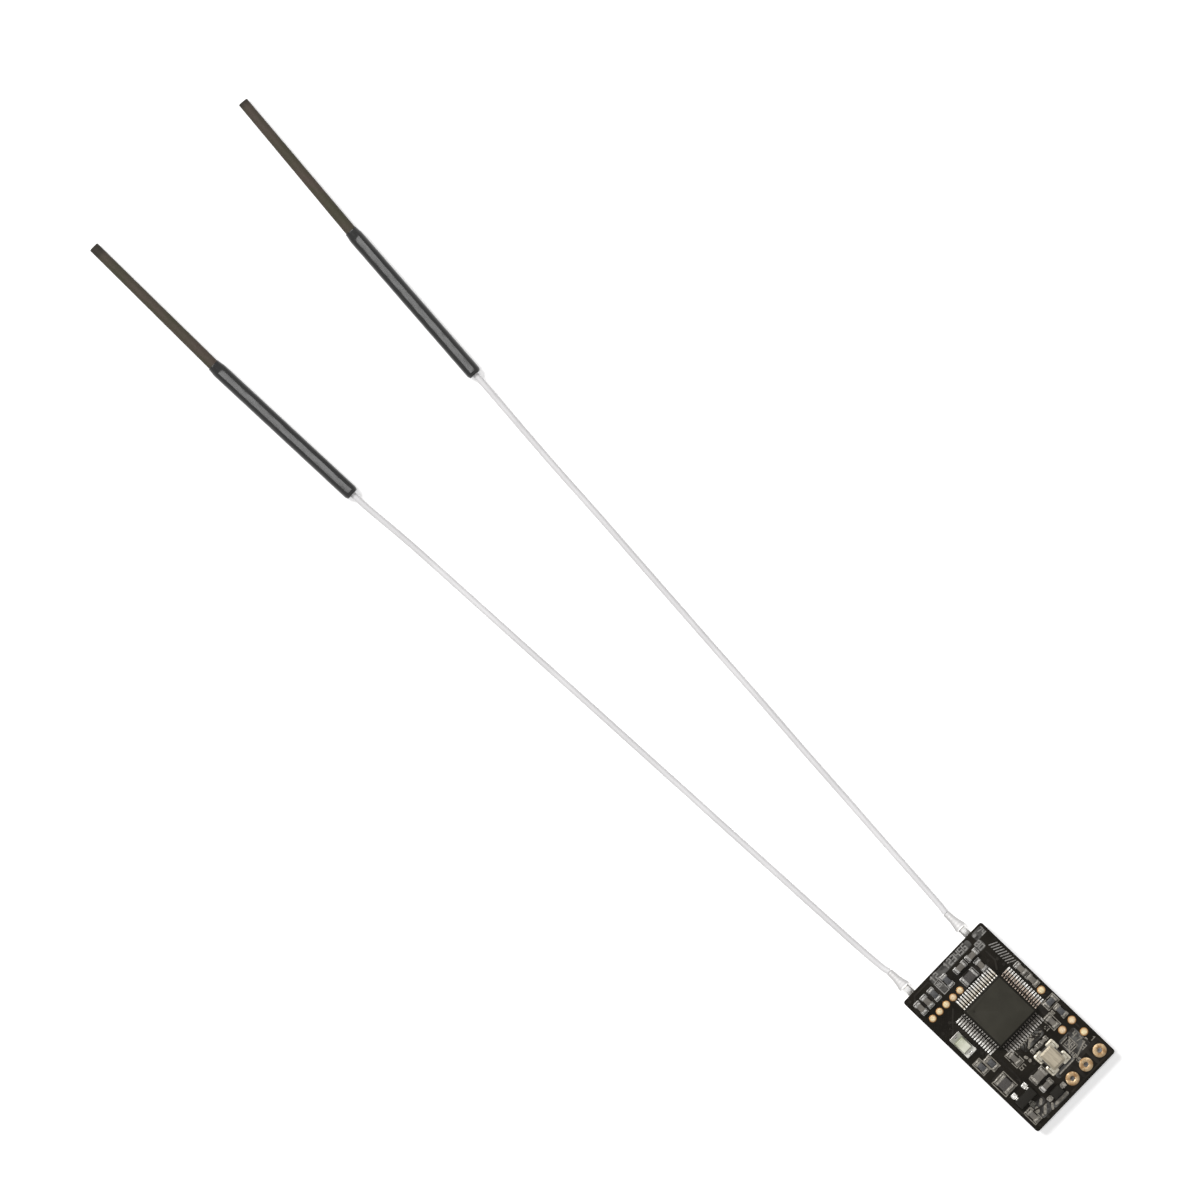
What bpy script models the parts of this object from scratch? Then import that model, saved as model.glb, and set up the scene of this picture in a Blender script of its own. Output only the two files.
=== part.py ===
"""A micro radio control receiver: a small black circuit board with its parts, and two micro coax
cables that leave its short edge and end in sleeve antennas.

Frame: metres, +Z up. The origin lies on the surface that the receiver stands on, under the middle
of the board. +X runs along the board, away from the cables.
"""

import math

import bmesh
import bpy
from mathutils import Matrix, Vector

MM = 0.001

# The board and how it stands
BOARD_LENGTH = 24.3 * MM
BOARD_WIDTH = 14.6 * MM
BOARD_THICKNESS = 0.8 * MM
BOARD_CORNER = 0.35 * MM
STAND_OFF = 1.25 * MM  # from the surface to the board's underside
SEAT_GAP = 0.01 * MM  # the film of solder or glue under a part
REST_GAP = 0.01 * MM  # between the surface and what lies on it beside the board's own feet

# Plated holes, in a row along one short edge
HOLE_PITCH = 2.54 * MM
HOLE_COUNT = 3
HOLE_BORE = 0.64 * MM
HOLE_RING = 1.85 * MM
PLATING = 0.07 * MM
RING_HEIGHT = 0.05 * MM
BARREL_CLEARANCE = 0.02 * MM

# Gold discs
PAD_HEIGHT = 0.04 * MM
PROGRAM_PAD_DIAMETER = 1.0 * MM
PROGRAM_PAD_PITCH = 1.27 * MM
PROGRAM_PAD_COUNT = 5
PROGRAM_PAD_TO_LEADS = 1.1 * MM
TEST_PAD_DIAMETER = 1.1 * MM

# The microcontroller, a quad flat package
CHIP_SIDE = 6.9 * MM
CHIP_TOP_SIDE = 6.25 * MM
CHIP_HEIGHT = 1.4 * MM
CHIP_STAND = 0.1 * MM
LEADS_PER_SIDE = 16
LEAD_PITCH = 0.4 * MM
LEAD_WIDTH = 0.19 * MM
LEAD_THICKNESS = 0.12 * MM
LEAD_REACH = 1.05 * MM
LEAD_SHOULDER = 0.2 * MM
LEAD_FOOT = 0.55 * MM
LEAD_BEND = 0.07 * MM
LEAD_ROOT = 0.2 * MM  # how far a lead runs on inside the moulding
DIMPLE_DIAMETER = 0.5 * MM
DIMPLE_DEPTH = 0.06 * MM
DIMPLE_INSET = 0.75 * MM

# The small three-lead and two-lead packages
REGULATOR_SIZE = (1.4 * MM, 2.9 * MM, 0.95 * MM)
REGULATOR_LEAD_PITCH = 1.9 * MM
REGULATOR_LEAD_REACH = 0.55 * MM
DIODE_SIZE = (1.25 * MM, 1.7 * MM, 0.85 * MM)
DIODE_LEAD_REACH = 0.4 * MM
STUB_LEAD_WIDTH = 0.42 * MM
STUB_LEAD_FOOT = 0.3 * MM
STUB_LEAD_SHOULDER = 0.1 * MM
MOULD_DRAFT = 0.09 * MM

# The crystal and the light
CRYSTAL_BASE = (3.2 * MM, 2.5 * MM, 0.5 * MM)
CRYSTAL_LID_MARGIN = 0.18 * MM
CRYSTAL_LID_HEIGHT = 0.16 * MM
CRYSTAL_NOTCH = 0.2 * MM
LID_CORNER = 0.3 * MM
LIGHT_BASE = (3.2 * MM, 1.6 * MM, 0.45 * MM)
LIGHT_LENS = (2.0 * MM, 1.55 * MM, 0.6 * MM)
LIGHT_DRAFT = 0.14 * MM
LIGHT_NOTCH = 0.35 * MM

# Chip parts: length, width, height and how long each end cap is
RESISTOR_CASE = (1.6 * MM, 0.8 * MM, 0.45 * MM, 0.3 * MM)
CAPACITOR_CASE = (1.6 * MM, 0.8 * MM, 0.8 * MM, 0.35 * MM)
SMALL_CAPACITOR_CASE = (1.0 * MM, 0.5 * MM, 0.5 * MM, 0.25 * MM)
SUPPLY_CASE = (2.0 * MM, 1.25 * MM, 0.85 * MM, 0.4 * MM)
BEAD_CASE = (2.0 * MM, 1.25 * MM, 0.9 * MM, 0.35 * MM)
INDUCTOR_CASE = (2.0 * MM, 1.6 * MM, 1.0 * MM, 0.4 * MM)
BULK_CASE = (2.0 * MM, 1.25 * MM, STAND_OFF - SEAT_GAP, 0.45 * MM)
CAP_STEP = 0.03 * MM  # the caps stand this much proud of the ceramic

# Places on the underside, as shares of half the board's length and width
RADIO_PLACE = (0.1, -0.05)
SWITCH_PLACE = (-0.45, 0.0)
BULK_PLACES = ((0.64, 0.6), (0.64, -0.6))

# Leadless chips under the board
RADIO_SIDE = 4.0 * MM
RADIO_HEIGHT = 0.85 * MM
RADIO_LANDS = 5
SWITCH_SIDE = 3.0 * MM
SWITCH_HEIGHT = 0.75 * MM
SWITCH_LANDS = 4
LAND_PITCH = 0.5 * MM
LAND_SIZE = (0.4 * MM, 0.26 * MM, 0.03 * MM)
LAND_PROUD = 0.02 * MM
CHIP_EDGE = 0.06 * MM

# Antenna sockets and the plugs on them
SOCKET_END_INSET = 1.2 * MM
SOCKET_SIDE_INSETS = (2.35 * MM, 1.65 * MM)
SOCKET_SIDE = 1.9 * MM
SOCKET_BASE = 0.25 * MM
SOCKET_TAB = (0.5 * MM, 0.35 * MM, 0.12 * MM)
SOCKET_RING = 0.75 * MM
SOCKET_RING_WALL = 0.14 * MM
SOCKET_RING_DROP = 0.5 * MM
SOCKET_PIN = 0.15 * MM
PLUG_WALL = 0.26 * MM
PLUG_FIT = 0.03 * MM
PLUG_FLOOR = 0.34 * MM
PLUG_HEIGHT = 0.88 * MM
PLUG_EDGE = 0.08 * MM
PLUG_TAIL = 5.2 * MM  # from the socket's centre to the end of the crimp
CABLE_EXIT_HEIGHT = 0.64 * MM
# The plug's neck and its flared crimp, in millimetres: how far from the socket's centre, half the
# width, half the height, and how high the middle lies
CRIMP_STATIONS = (
    (0.8, 0.6, 0.34, 0.45), (1.4, 0.62, 0.35, 0.48), (2.2, 0.6, 0.38, 0.55), (2.4, 0.84, 0.5, 0.6),
    (2.65, 0.83, 0.52, 0.62), (3.4, 0.66, 0.51, 0.64), (4.2, 0.54, 0.49, 0.64),
    (PLUG_TAIL / MM, 0.46, 0.46, CABLE_EXIT_HEIGHT / MM),
)

# Cables and antennas
CABLE_DIAMETER = 0.81 * MM
CABLE_GAP = 0.05 * MM
CABLE_STEP = 2.0 * MM
CABLE_LEAD_IN = 2.5 * MM
SLEEVE_LENGTH = 24.7 * MM
SLEEVE_DIAMETER = 2.0 * MM
JACKET_WALL = 0.2 * MM
SHOULDER_LENGTH = 1.3 * MM
SHOULDER_LIP = 0.06 * MM
MOUTH_EDGE = 0.06 * MM
BRASS_WALL = 0.2 * MM
BRASS_FIT = 0.02 * MM
MOUTH_RECESS = 0.8 * MM
TIP_LENGTH = 21.9 * MM
TIP_DIAMETER = 1.37 * MM
TIP_ROOT_DIAMETER = 1.52 * MM
TIP_BORE = 0.6 * MM
TIP_LAP = 1.4 * MM
CURVE_SAMPLES = 40  # between two points of a cable's route
END_GAP = 0.1 * MM
WIRE_DIAMETER = 0.42 * MM
WIRE_RECESS = 0.5 * MM
ROUND_STEPS = 24

MOUTH_LIFT = (SLEEVE_DIAMETER - CABLE_DIAMETER) / 2 / MM

# Each cable's own points between its plug and the mouth of its sleeve, in millimetres: along,
# across and how far it is lifted above where it lies on the surface
ROUTES = (
    ((-17.0, 5.1, 0.16), (-21.4, 5.49, 0.02), (-29.3, 6.14, 0.0), (-37.2, 6.83, 0.0),
     (-45.0, 7.49, 0.0), (-52.9, 8.22, 0.0), (-60.7, 8.85, 0.0), (-68.6, 9.54, 0.0),
     (-76.5, 10.22, 0.0), (-84.3, 10.91, 0.0), (-92.2, 11.53, 0.0), (-99.0, 12.15, 0.03),
     (-108.9, 13.1, MOUTH_LIFT)),
    ((-17.0, -5.85, 0.16), (-21.7, -6.13, 0.02), (-29.6, -6.4, 0.0), (-37.5, -6.65, 0.0),
     (-45.4, -6.91, 0.0), (-53.3, -7.15, 0.0), (-61.2, -7.4, 0.0), (-69.1, -7.65, 0.0),
     (-77.0, -7.92, 0.0), (-84.9, -8.18, 0.0), (-92.8, -8.44, 0.0), (-100.0, -8.7, 0.03),
     (-109.6, -9.2, MOUTH_LIFT)),
)
# The headings of each antenna's sleeve and of its tip, in degrees
HEADINGS = ((174.8, 173.8), (181.0, 179.3))

BOARD_BOTTOM = STAND_OFF
BOARD_TOP = STAND_OFF + BOARD_THICKNESS
SOCKET_X = -BOARD_LENGTH / 2 + SOCKET_END_INSET
SOCKET_Y = (BOARD_WIDTH / 2 - SOCKET_SIDE_INSETS[0], SOCKET_SIDE_INSETS[1] - BOARD_WIDTH / 2)
QUARTER = math.pi / 2

# How far each kind of part reaches along X and along Y before it is turned
CHIP_SPAN = CHIP_SIDE + 2 * LEAD_REACH
FOOTPRINTS = {
    "chip": (CHIP_SPAN, CHIP_SPAN),
    "light": LIGHT_BASE[:2],
    "crystal": CRYSTAL_BASE[:2],
    "hole_row": (HOLE_RING, HOLE_RING + (HOLE_COUNT - 1) * HOLE_PITCH),
    "pad_row": (PROGRAM_PAD_DIAMETER, PROGRAM_PAD_DIAMETER + (PROGRAM_PAD_COUNT - 1) * PROGRAM_PAD_PITCH),
    "test_pad": (TEST_PAD_DIAMETER, TEST_PAD_DIAMETER),
    "regulator": (REGULATOR_SIZE[0] + 2 * REGULATOR_LEAD_REACH, REGULATOR_SIZE[1]),
    "diode": (DIODE_SIZE[0], DIODE_SIZE[1] + 2 * DIODE_LEAD_REACH),
    "capacitor": CAPACITOR_CASE[:2],
    "load_capacitor": SMALL_CAPACITOR_CASE[:2],
    "supply_capacitor": SUPPLY_CASE[:2],
    "resistor": RESISTOR_CASE[:2],
    "ferrite_bead": BEAD_CASE[:2],
    "power_inductor": INDUCTOR_CASE[:2],
}

# The layout of the upper side. Each row or column lists the gap before a part, the part and how it
# is turned, and ends with its last gap. The gaps are in millimetres on the real board, and where
# a size changes, they share out what the parts leave.
ALONG_X, ALONG_Y = 0.0, QUARTER
MAIN_ROW = (
    (1.35, "capacitor", ALONG_X), (0.14, "capacitor", ALONG_X), (0.61, "chip", ALONG_X),
    (2.0, "load_capacitor", ALONG_Y), (0.49, "crystal", ALONG_X), (1.29, "hole_row", ALONG_X), (0.67,),
)
OUTER_COLUMN = (
    (0.7, "capacitor", ALONG_X), (0.4, "capacitor", ALONG_X), (0.5, "resistor", ALONG_X),
    (1.66, "resistor", ALONG_X), (1.21, "capacitor", ALONG_Y), (0.59, "capacitor", ALONG_Y), (3.14,),
)
INNER_COLUMN = (
    (0.7, "pad_row", ALONG_X), (0.62, "ferrite_bead", ALONG_Y), (0.75, "capacitor", ALONG_X), (3.65,),
)
CHIP_COLUMN = (
    (0.66, "light", ALONG_X), (1.19, "chip", ALONG_X), (0.65, "test_pad", ALONG_X), (0.4,),
)
ABOVE_CHIP = (
    (1.85, "capacitor", ALONG_X), (0.5, "capacitor", ALONG_X), (0.39, "test_pad", ALONG_X),
    (0.97, "resistor", ALONG_Y), (0.19,),
)
BELOW_CHIP = ((2.5, "light", ALONG_X), (1.39, "resistor", ALONG_X), (0.31,))
BELOW_CHIP_COLUMN = ((0.7, "resistor", ALONG_X), (0.4, "resistor", ALONG_X), (0.75,))
SECOND_RESISTOR_SHIFT = 0.56 * MM
FAR_COLUMN = (
    (0.74, "regulator", ALONG_X), (0.76, "supply_capacitor", ALONG_Y), (0.67, "crystal", ALONG_X),
    (1.68, "test_pad", ALONG_X), (0.7, "test_pad", ALONG_X), (0.45,),
)
FAR_ROWS = (
    ((1.55, "power_inductor", ALONG_X), (0.95, "regulator", ALONG_X), (0.25, "capacitor", ALONG_X),
     (1.15,)),
    ((0.33, "capacitor", ALONG_X), (2.42, "supply_capacitor", ALONG_Y),
     (0.55, "capacitor", ALONG_Y), (0.53,)),
    None,
    ((0.55, "capacitor", ALONG_X), (0.37, "test_pad", ALONG_X), (3.86,)),
    ((0.4, "resistor", ALONG_X), (0.52, "test_pad", ALONG_X), (1.09, "test_pad", ALONG_X), (1.67,)),
)
HOLE_COLUMN = ((4.22, "diode", ALONG_X), (0.52, "hole_row", ALONG_X), (0.43,))


def clear_scene():
    for thing in list(bpy.data.objects):
        bpy.data.objects.remove(thing)


def collection(name):
    made = bpy.data.collections.new(name)
    bpy.context.scene.collection.children.link(made)
    return made


clear_scene()
PARTS = collection("micro_receiver")
TOOLS = collection("construction_tools")


def finish(name, colour, roughness, metallic=0.0):
    """A Principled material in one colour."""
    made = bpy.data.materials.new(name)
    made.use_nodes = True
    shader = made.node_tree.nodes["Principled BSDF"]
    shader.inputs["Base Color"].default_value = (*colour, 1.0)
    shader.inputs["Roughness"].default_value = roughness
    shader.inputs["Metallic"].default_value = metallic
    return made


BOARD_BLACK = finish("board_black", (0.016, 0.014, 0.012), 0.4)
CHIP_PLASTIC = finish("chip_plastic", (0.045, 0.043, 0.035), 0.65)
CERAMIC_TAN = finish("ceramic_tan", (0.32, 0.24, 0.16), 0.5)
RESISTOR_BLACK = finish("resistor_black", (0.03, 0.03, 0.032), 0.45)
FERRITE = finish("ferrite", (0.05, 0.047, 0.045), 0.7)
CERAMIC_BASE = finish("crystal_ceramic", (0.2, 0.17, 0.13), 0.6)
LID_METAL = finish("lid_metal", (0.62, 0.56, 0.44), 0.35, 1.0)
LIGHT_WHITE = finish("light_base_white", (0.72, 0.7, 0.58), 0.5)
LENS_YELLOW = finish("lens_yellow", (0.66, 0.7, 0.42), 0.3)
PAD_GOLD = finish("pad_gold", (0.85, 0.62, 0.28), 0.3, 1.0)
SOCKET_METAL = finish("socket_metal", (0.72, 0.62, 0.42), 0.35, 1.0)
PLUG_METAL = finish("plug_metal", (0.62, 0.62, 0.62), 0.35, 1.0)
COAX_GREY = finish("coax_grey", (0.68, 0.66, 0.67), 0.45)
JACKET_BLACK = finish("jacket_black", (0.012, 0.012, 0.01), 0.25)
TIP_OLIVE = finish("tip_olive", (0.075, 0.065, 0.045), 0.6)
BRASS = finish("brass", (0.75, 0.53, 0.22), 0.35, 1.0)
CORE_WHITE = finish("core_white", (0.8, 0.78, 0.74), 0.4)


def add_part(name, mesh, material, place=(0.0, 0.0, 0.0), turn=0.0, flipped=False):
    """A named part at its place, turned about Z, and turned upside down for the underside."""
    part = bpy.data.objects.new(name, mesh)
    part.location = place
    part.rotation_euler = (math.pi if flipped else 0.0, 0.0, turn)
    if not mesh.materials:
        mesh.materials.append(material)
    PARTS.objects.link(part)
    return part


def add_tool(name, mesh, parent, place=(0.0, 0.0, 0.0)):
    """A cutter or an added shape, which moves with the part that it works on."""
    tool = bpy.data.objects.new(name, mesh)
    tool.parent = parent
    tool.location = place
    tool.hide_render = True
    tool.display_type = "WIRE"
    TOOLS.objects.link(tool)
    return tool


def combine(part, tool, operation):
    modifier = part.modifiers.new(f"{operation.lower()} {tool.name}", "BOOLEAN")
    modifier.operation = operation
    modifier.object = tool
    modifier.solver = "EXACT"


def mesh_from(name, draw):
    """A mesh that a function draws into a bmesh."""
    bm = bmesh.new()
    draw(bm)
    mesh = bpy.data.meshes.new(name)
    bm.to_mesh(mesh)
    bm.free()
    return mesh


def draw_box(bm, size, centre=(0.0, 0.0, 0.0)):
    made = bmesh.ops.create_cube(bm, size=1.0)
    place = Matrix.Translation(centre) @ Matrix.Diagonal((*size, 1.0))
    bmesh.ops.transform(bm, matrix=place, verts=made["verts"])
    return made["verts"]


def draw_cylinder(bm, radius, height, centre=(0.0, 0.0, 0.0)):
    bmesh.ops.create_cone(
        bm, cap_ends=True, segments=ROUND_STEPS, radius1=radius, radius2=radius, depth=height,
        matrix=Matrix.Translation(centre),
    )


def box_mesh(name, size, centre=(0.0, 0.0, 0.0)):
    return mesh_from(name, lambda bm: draw_box(bm, size, centre))


def cylinder_mesh(name, radius, height, centre=(0.0, 0.0, 0.0)):
    return mesh_from(name, lambda bm: draw_cylinder(bm, radius, height, centre))


def slab_mesh(name, size, corner):
    """A flat box that stands on z = 0, with its four upright corners rounded."""
    def draw(bm):
        draw_box(bm, size, (0.0, 0.0, size[2] / 2))
        upright = [e for e in bm.edges if abs(e.verts[0].co.z - e.verts[1].co.z) > size[2] / 2]
        bmesh.ops.bevel(bm, geom=upright, offset=corner, segments=3, affect="EDGES", profile=0.5)
    return mesh_from(name, draw)


def moulded_mesh(name, side_x, side_y, height, draft, stand=0.0):
    """A moulded package: widest at its parting line, half way up, and drawn in above and below."""
    parting = stand + height / 2

    def draw(bm):
        draw_box(bm, (side_x, side_y, height), (0.0, 0.0, parting))
        whole = bm.verts[:] + bm.edges[:] + bm.faces[:]
        bmesh.ops.bisect_plane(bm, geom=whole, plane_co=(0, 0, parting), plane_no=(0, 0, 1))
        for corner in bm.verts:
            if abs(corner.co.z - parting) > height / 4:
                corner.co.x -= math.copysign(draft, corner.co.x)
                corner.co.y -= math.copysign(draft, corner.co.y)
    return mesh_from(name, draw)


def turned_mesh(name, profile):
    """A profile of (radius, height) points, closed into a loop, for a Screw modifier to turn."""
    mesh = bpy.data.meshes.new(name)
    points = [(radius, 0.0, height) for radius, height in profile]
    on_axis = profile[0][0] == 0.0
    edges = [(i, i + 1) for i in range(len(points) - 1)]
    if not on_axis:
        edges.append((len(points) - 1, 0))
    mesh.from_pydata(points, edges, [])
    return mesh


def turn_profile(part, steps=ROUND_STEPS):
    """Turns the part's profile about its Z axis."""
    screw = part.modifiers.new("turned", "SCREW")
    screw.axis = "Z"
    screw.steps = steps
    screw.render_steps = steps
    screw.use_merge_vertices = True
    screw.merge_threshold = 1e-6
    screw.use_smooth_shade = True


def reach(kind, turn, axis):
    """How far a part reaches along X (axis 0) or Y (axis 1) once it is turned."""
    return FOOTPRINTS[kind][axis if turn == ALONG_X else 1 - axis]


def spread(row, low, high, axis):
    """The middles of a row's parts between two limits, with their gaps sharing what is left."""
    sizes = [reach(kind, turn, axis) for _, kind, turn in row[:-1]]
    gaps = [entry[0] for entry in row]
    share = (high - low - sum(sizes)) / sum(gaps)
    middles, at = [], low
    for size, gap in zip(sizes, gaps):
        at += gap * share + size
        middles.append(at - size / 2)
    return middles


def plan_upper_side():
    """Where each kind of part stands on the upper side, as lists of (x, y, turn)."""
    end, side = BOARD_LENGTH / 2, BOARD_WIDTH / 2
    outer_x, inner_x, chip_x, load_x, crystal_x, hole_x = spread(MAIN_ROW, -end, end, 0)
    light_y, chip_y, above_y = spread(CHIP_COLUMN, -side, side, 1)
    far_y = spread(FAR_COLUMN, -side, side, 1)
    chip_end, chip_foot = chip_x + CHIP_SPAN / 2, chip_y - CHIP_SPAN / 2
    ring_side = hole_x - HOLE_RING / 2
    places = {kind: [] for kind in FOOTPRINTS}

    def put(kind, x, y, turn=ALONG_X):
        places[kind].append((x, y, turn))

    def put_row(row, low, high, base, lean):
        """A row along X whose parts stand on a line, or hang from it where they lean the other way."""
        for (_, kind, turn), x in zip(row, spread(row, low, high, 0)):
            put(kind, x, base + lean * reach(kind, turn, 1) / 2, turn)

    for column, x in ((OUTER_COLUMN, outer_x), (INNER_COLUMN, inner_x)):
        for (_, kind, turn), y in zip(column, spread(column, -side, side, 1)):
            put(kind, x, y, turn)
    put("chip", chip_x, chip_y)
    put_row(ABOVE_CHIP, chip_x - CHIP_SPAN / 2, chip_end, above_y + TEST_PAD_DIAMETER / 2, -1)
    put_row(BELOW_CHIP, chip_x - CHIP_SPAN / 2, chip_end, light_y - LIGHT_BASE[1] / 2, 1)
    upper = spread(BELOW_CHIP_COLUMN, -side, chip_foot, 1)[1]
    put("resistor", places["resistor"][-1][0] + SECOND_RESISTOR_SHIFT, upper)
    for (_, kind, turn), y, row in zip(FAR_COLUMN, far_y, FAR_ROWS):
        base = y - reach(kind, turn, 1) / 2
        if row:
            put_row(row, chip_end, end if kind == "regulator" else ring_side, base, 1)
        else:
            put("crystal", crystal_x, y)
            for lean in (1, -1):
                inset = (CRYSTAL_BASE[1] - SMALL_CAPACITOR_CASE[0]) / 2
                put("load_capacitor", load_x, y + lean * inset, ALONG_Y)
    diode_y, hole_y = spread(HOLE_COLUMN, -side, side, 1)
    put("diode", ring_side + DIODE_SIZE[0] / 2, diode_y)
    put("hole_row", hole_x, hole_y)
    return places


def under_board(u, v):
    """A place on the board's underside, given as shares of half its length and width."""
    return (u * BOARD_LENGTH / 2, v * BOARD_WIDTH / 2, BOARD_BOTTOM - SEAT_GAP)


PLACES = plan_upper_side()


def on_board(kind, index=0):
    """The seat of a part on the board's upper face, and how it is turned."""
    x, y, turn = PLACES[kind][index]
    return (x, y, BOARD_TOP + SEAT_GAP), turn


def hole_places():
    """The centres of the plated holes, from the corner inwards."""
    (x, y, _), _ = on_board("hole_row")
    first = y + (HOLE_COUNT - 1) * HOLE_PITCH / 2
    return [(x, first - i * HOLE_PITCH) for i in range(HOLE_COUNT)]


def build_board():
    mesh = slab_mesh("circuit_board", (BOARD_LENGTH, BOARD_WIDTH, BOARD_THICKNESS), BOARD_CORNER)
    board = add_part("circuit_board", mesh, BOARD_BLACK, (0.0, 0.0, BOARD_BOTTOM))
    drill_radius = HOLE_BORE / 2 + PLATING + BARREL_CLEARANCE

    def draw(bm):
        for x, y in hole_places():
            draw_cylinder(bm, drill_radius, 2 * BOARD_THICKNESS, (x, y, BOARD_THICKNESS / 2))
    drills = add_tool("hole_drills", mesh_from("hole_drills", draw), board)
    combine(board, drills, "DIFFERENCE")


def build_plated_holes():
    """Each is a barrel through the board with a flat ring on both faces."""
    bore, ring = HOLE_BORE / 2, HOLE_RING / 2
    barrel = bore + PLATING
    edge = RING_HEIGHT / 2
    seat_top, seat_bottom = BOARD_TOP + SEAT_GAP, BOARD_BOTTOM - SEAT_GAP
    profile = [
        (bore, seat_top + RING_HEIGHT),
        (ring - edge, seat_top + RING_HEIGHT),
        (ring, seat_top + RING_HEIGHT - edge),
        (ring, seat_top),
        (barrel, seat_top),
        (barrel, seat_bottom),
        (ring, seat_bottom),
        (ring, seat_bottom - RING_HEIGHT + edge),
        (ring - edge, seat_bottom - RING_HEIGHT),
        (bore, seat_bottom - RING_HEIGHT),
    ]
    mesh = turned_mesh("plated_hole", profile)
    for number, (x, y) in enumerate(hole_places(), 1):
        turn_profile(add_part(f"plated_hole_{number}", mesh, PAD_GOLD, (x, y, 0.0)))


def build_pads():
    """Gold discs: the programming row beside the microcontroller and the loose test pads."""
    height = (0.0, 0.0, PAD_HEIGHT / 2)
    row_mesh = cylinder_mesh("program_pad", PROGRAM_PAD_DIAMETER / 2, PAD_HEIGHT, height)
    (chip_x, _, _), _ = on_board("chip")
    (_, row_y, seat), _ = on_board("pad_row")
    x = chip_x - CHIP_SPAN / 2 - PROGRAM_PAD_TO_LEADS
    lowest = row_y - (PROGRAM_PAD_COUNT - 1) * PROGRAM_PAD_PITCH / 2
    for i in range(PROGRAM_PAD_COUNT):
        y = lowest + i * PROGRAM_PAD_PITCH
        add_part(f"program_pad_{i + 1}", row_mesh, PAD_GOLD, (x, y, seat))
    test_mesh = cylinder_mesh("test_pad", TEST_PAD_DIAMETER / 2, PAD_HEIGHT, height)
    for i in range(len(PLACES["test_pad"])):
        add_part(f"test_pad_{i + 1}", test_mesh, PAD_GOLD, on_board("test_pad", i)[0])


def strip_outline(line, thickness):
    """The outline of a bent strip: its middle line offset to both sides, mitred at each bend."""
    sides = ([], [])
    for i, point in enumerate(line):
        coming = (point - line[i - 1]).normalized() if i else None
        going = (line[i + 1] - point).normalized() if i < len(line) - 1 else coming
        coming = coming or going
        middle = (coming + going).normalized()
        across = Vector((-middle.y, middle.x))
        half = thickness / 2 / across.dot(Vector((-going.y, going.x)))
        sides[0].append(point + across * half)
        sides[1].append(point - across * half)
    return sides[0] + sides[1][::-1]


def gull_wing(height, lead_reach, foot, shoulder, root):
    """A lead's side view: out of the moulding, over its shoulder, down and out along its foot."""
    top = Vector((shoulder, height))
    heel = Vector((lead_reach - foot, LEAD_THICKNESS / 2))
    slope = (heel - top).normalized()
    bend = LEAD_BEND
    line = [
        Vector((-root, height)),
        top - Vector((bend, 0.0)),
        top + slope * bend,
        heel - slope * bend,
        heel + Vector((bend, 0.0)),
        Vector((lead_reach, LEAD_THICKNESS / 2)),
    ]
    return strip_outline(line, LEAD_THICKNESS)


def draw_lead(bm, outline, width, turn, out, along):
    """One lead: its side view given its width, turned to its side of the package."""
    place = Matrix.Rotation(turn, 4, "Z") @ Matrix.Translation((out, along, 0.0))
    corners = [bm.verts.new(place @ Vector((p.x, -width / 2, p.y))) for p in outline]
    face = bm.faces.new(corners)
    grown = bmesh.ops.extrude_face_region(bm, geom=[face])["geom"]
    far_side = [v for v in grown if isinstance(v, bmesh.types.BMVert)]
    bmesh.ops.translate(bm, verts=far_side, vec=place.to_3x3() @ Vector((0.0, width, 0.0)))


def build_microcontroller():
    """A 64-lead quad flat package: drafted moulding, sixteen gull-wing leads a side, a dimple."""
    draft = (CHIP_SIDE - CHIP_TOP_SIDE) / 2
    mesh = moulded_mesh("microcontroller", CHIP_SIDE, CHIP_SIDE, CHIP_HEIGHT, draft, CHIP_STAND)
    chip = add_part("microcontroller", mesh, CHIP_PLASTIC, on_board("chip")[0])
    outline = gull_wing(CHIP_STAND + CHIP_HEIGHT / 2, LEAD_REACH, LEAD_FOOT, LEAD_SHOULDER, LEAD_ROOT)

    def draw(bm):
        for side in range(4):
            for i in range(LEADS_PER_SIDE):
                along = (i - (LEADS_PER_SIDE - 1) / 2) * LEAD_PITCH
                draw_lead(bm, outline, LEAD_WIDTH, side * QUARTER, CHIP_SIDE / 2, along)
        bmesh.ops.recalc_face_normals(bm, faces=bm.faces)
    leads = add_tool("microcontroller_leads", mesh_from("microcontroller_leads", draw), chip)
    combine(chip, leads, "UNION")

    corner = CHIP_TOP_SIDE / 2 - DIMPLE_INSET
    top = CHIP_STAND + CHIP_HEIGHT
    dimple = cylinder_mesh(
        "first_lead_dimple", DIMPLE_DIAMETER / 2, 2 * DIMPLE_DEPTH, (-corner, -corner, top)
    )
    combine(chip, add_tool("first_lead_dimple", dimple, chip), "DIFFERENCE")


def build_leaded(name, size, leads, lead_reach):
    """A small moulded package with a few stub leads, each given by its side and its offset."""
    mesh = moulded_mesh(name, size[0], size[1], size[2], MOULD_DRAFT, CHIP_STAND)
    part = add_part(name, mesh, CHIP_PLASTIC, on_board(name)[0])
    height = CHIP_STAND + size[2] / 2
    outline = gull_wing(height, lead_reach, STUB_LEAD_FOOT, STUB_LEAD_SHOULDER, LEAD_ROOT)

    def draw(bm):
        for quarter_turns, along in leads:
            out = (size[0] if quarter_turns % 2 == 0 else size[1]) / 2
            draw_lead(bm, outline, STUB_LEAD_WIDTH, quarter_turns * QUARTER, out, along)
        bmesh.ops.recalc_face_normals(bm, faces=bm.faces)
    tool = add_tool(f"{name}_leads", mesh_from(f"{name}_leads", draw), part)
    combine(part, tool, "UNION")


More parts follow.
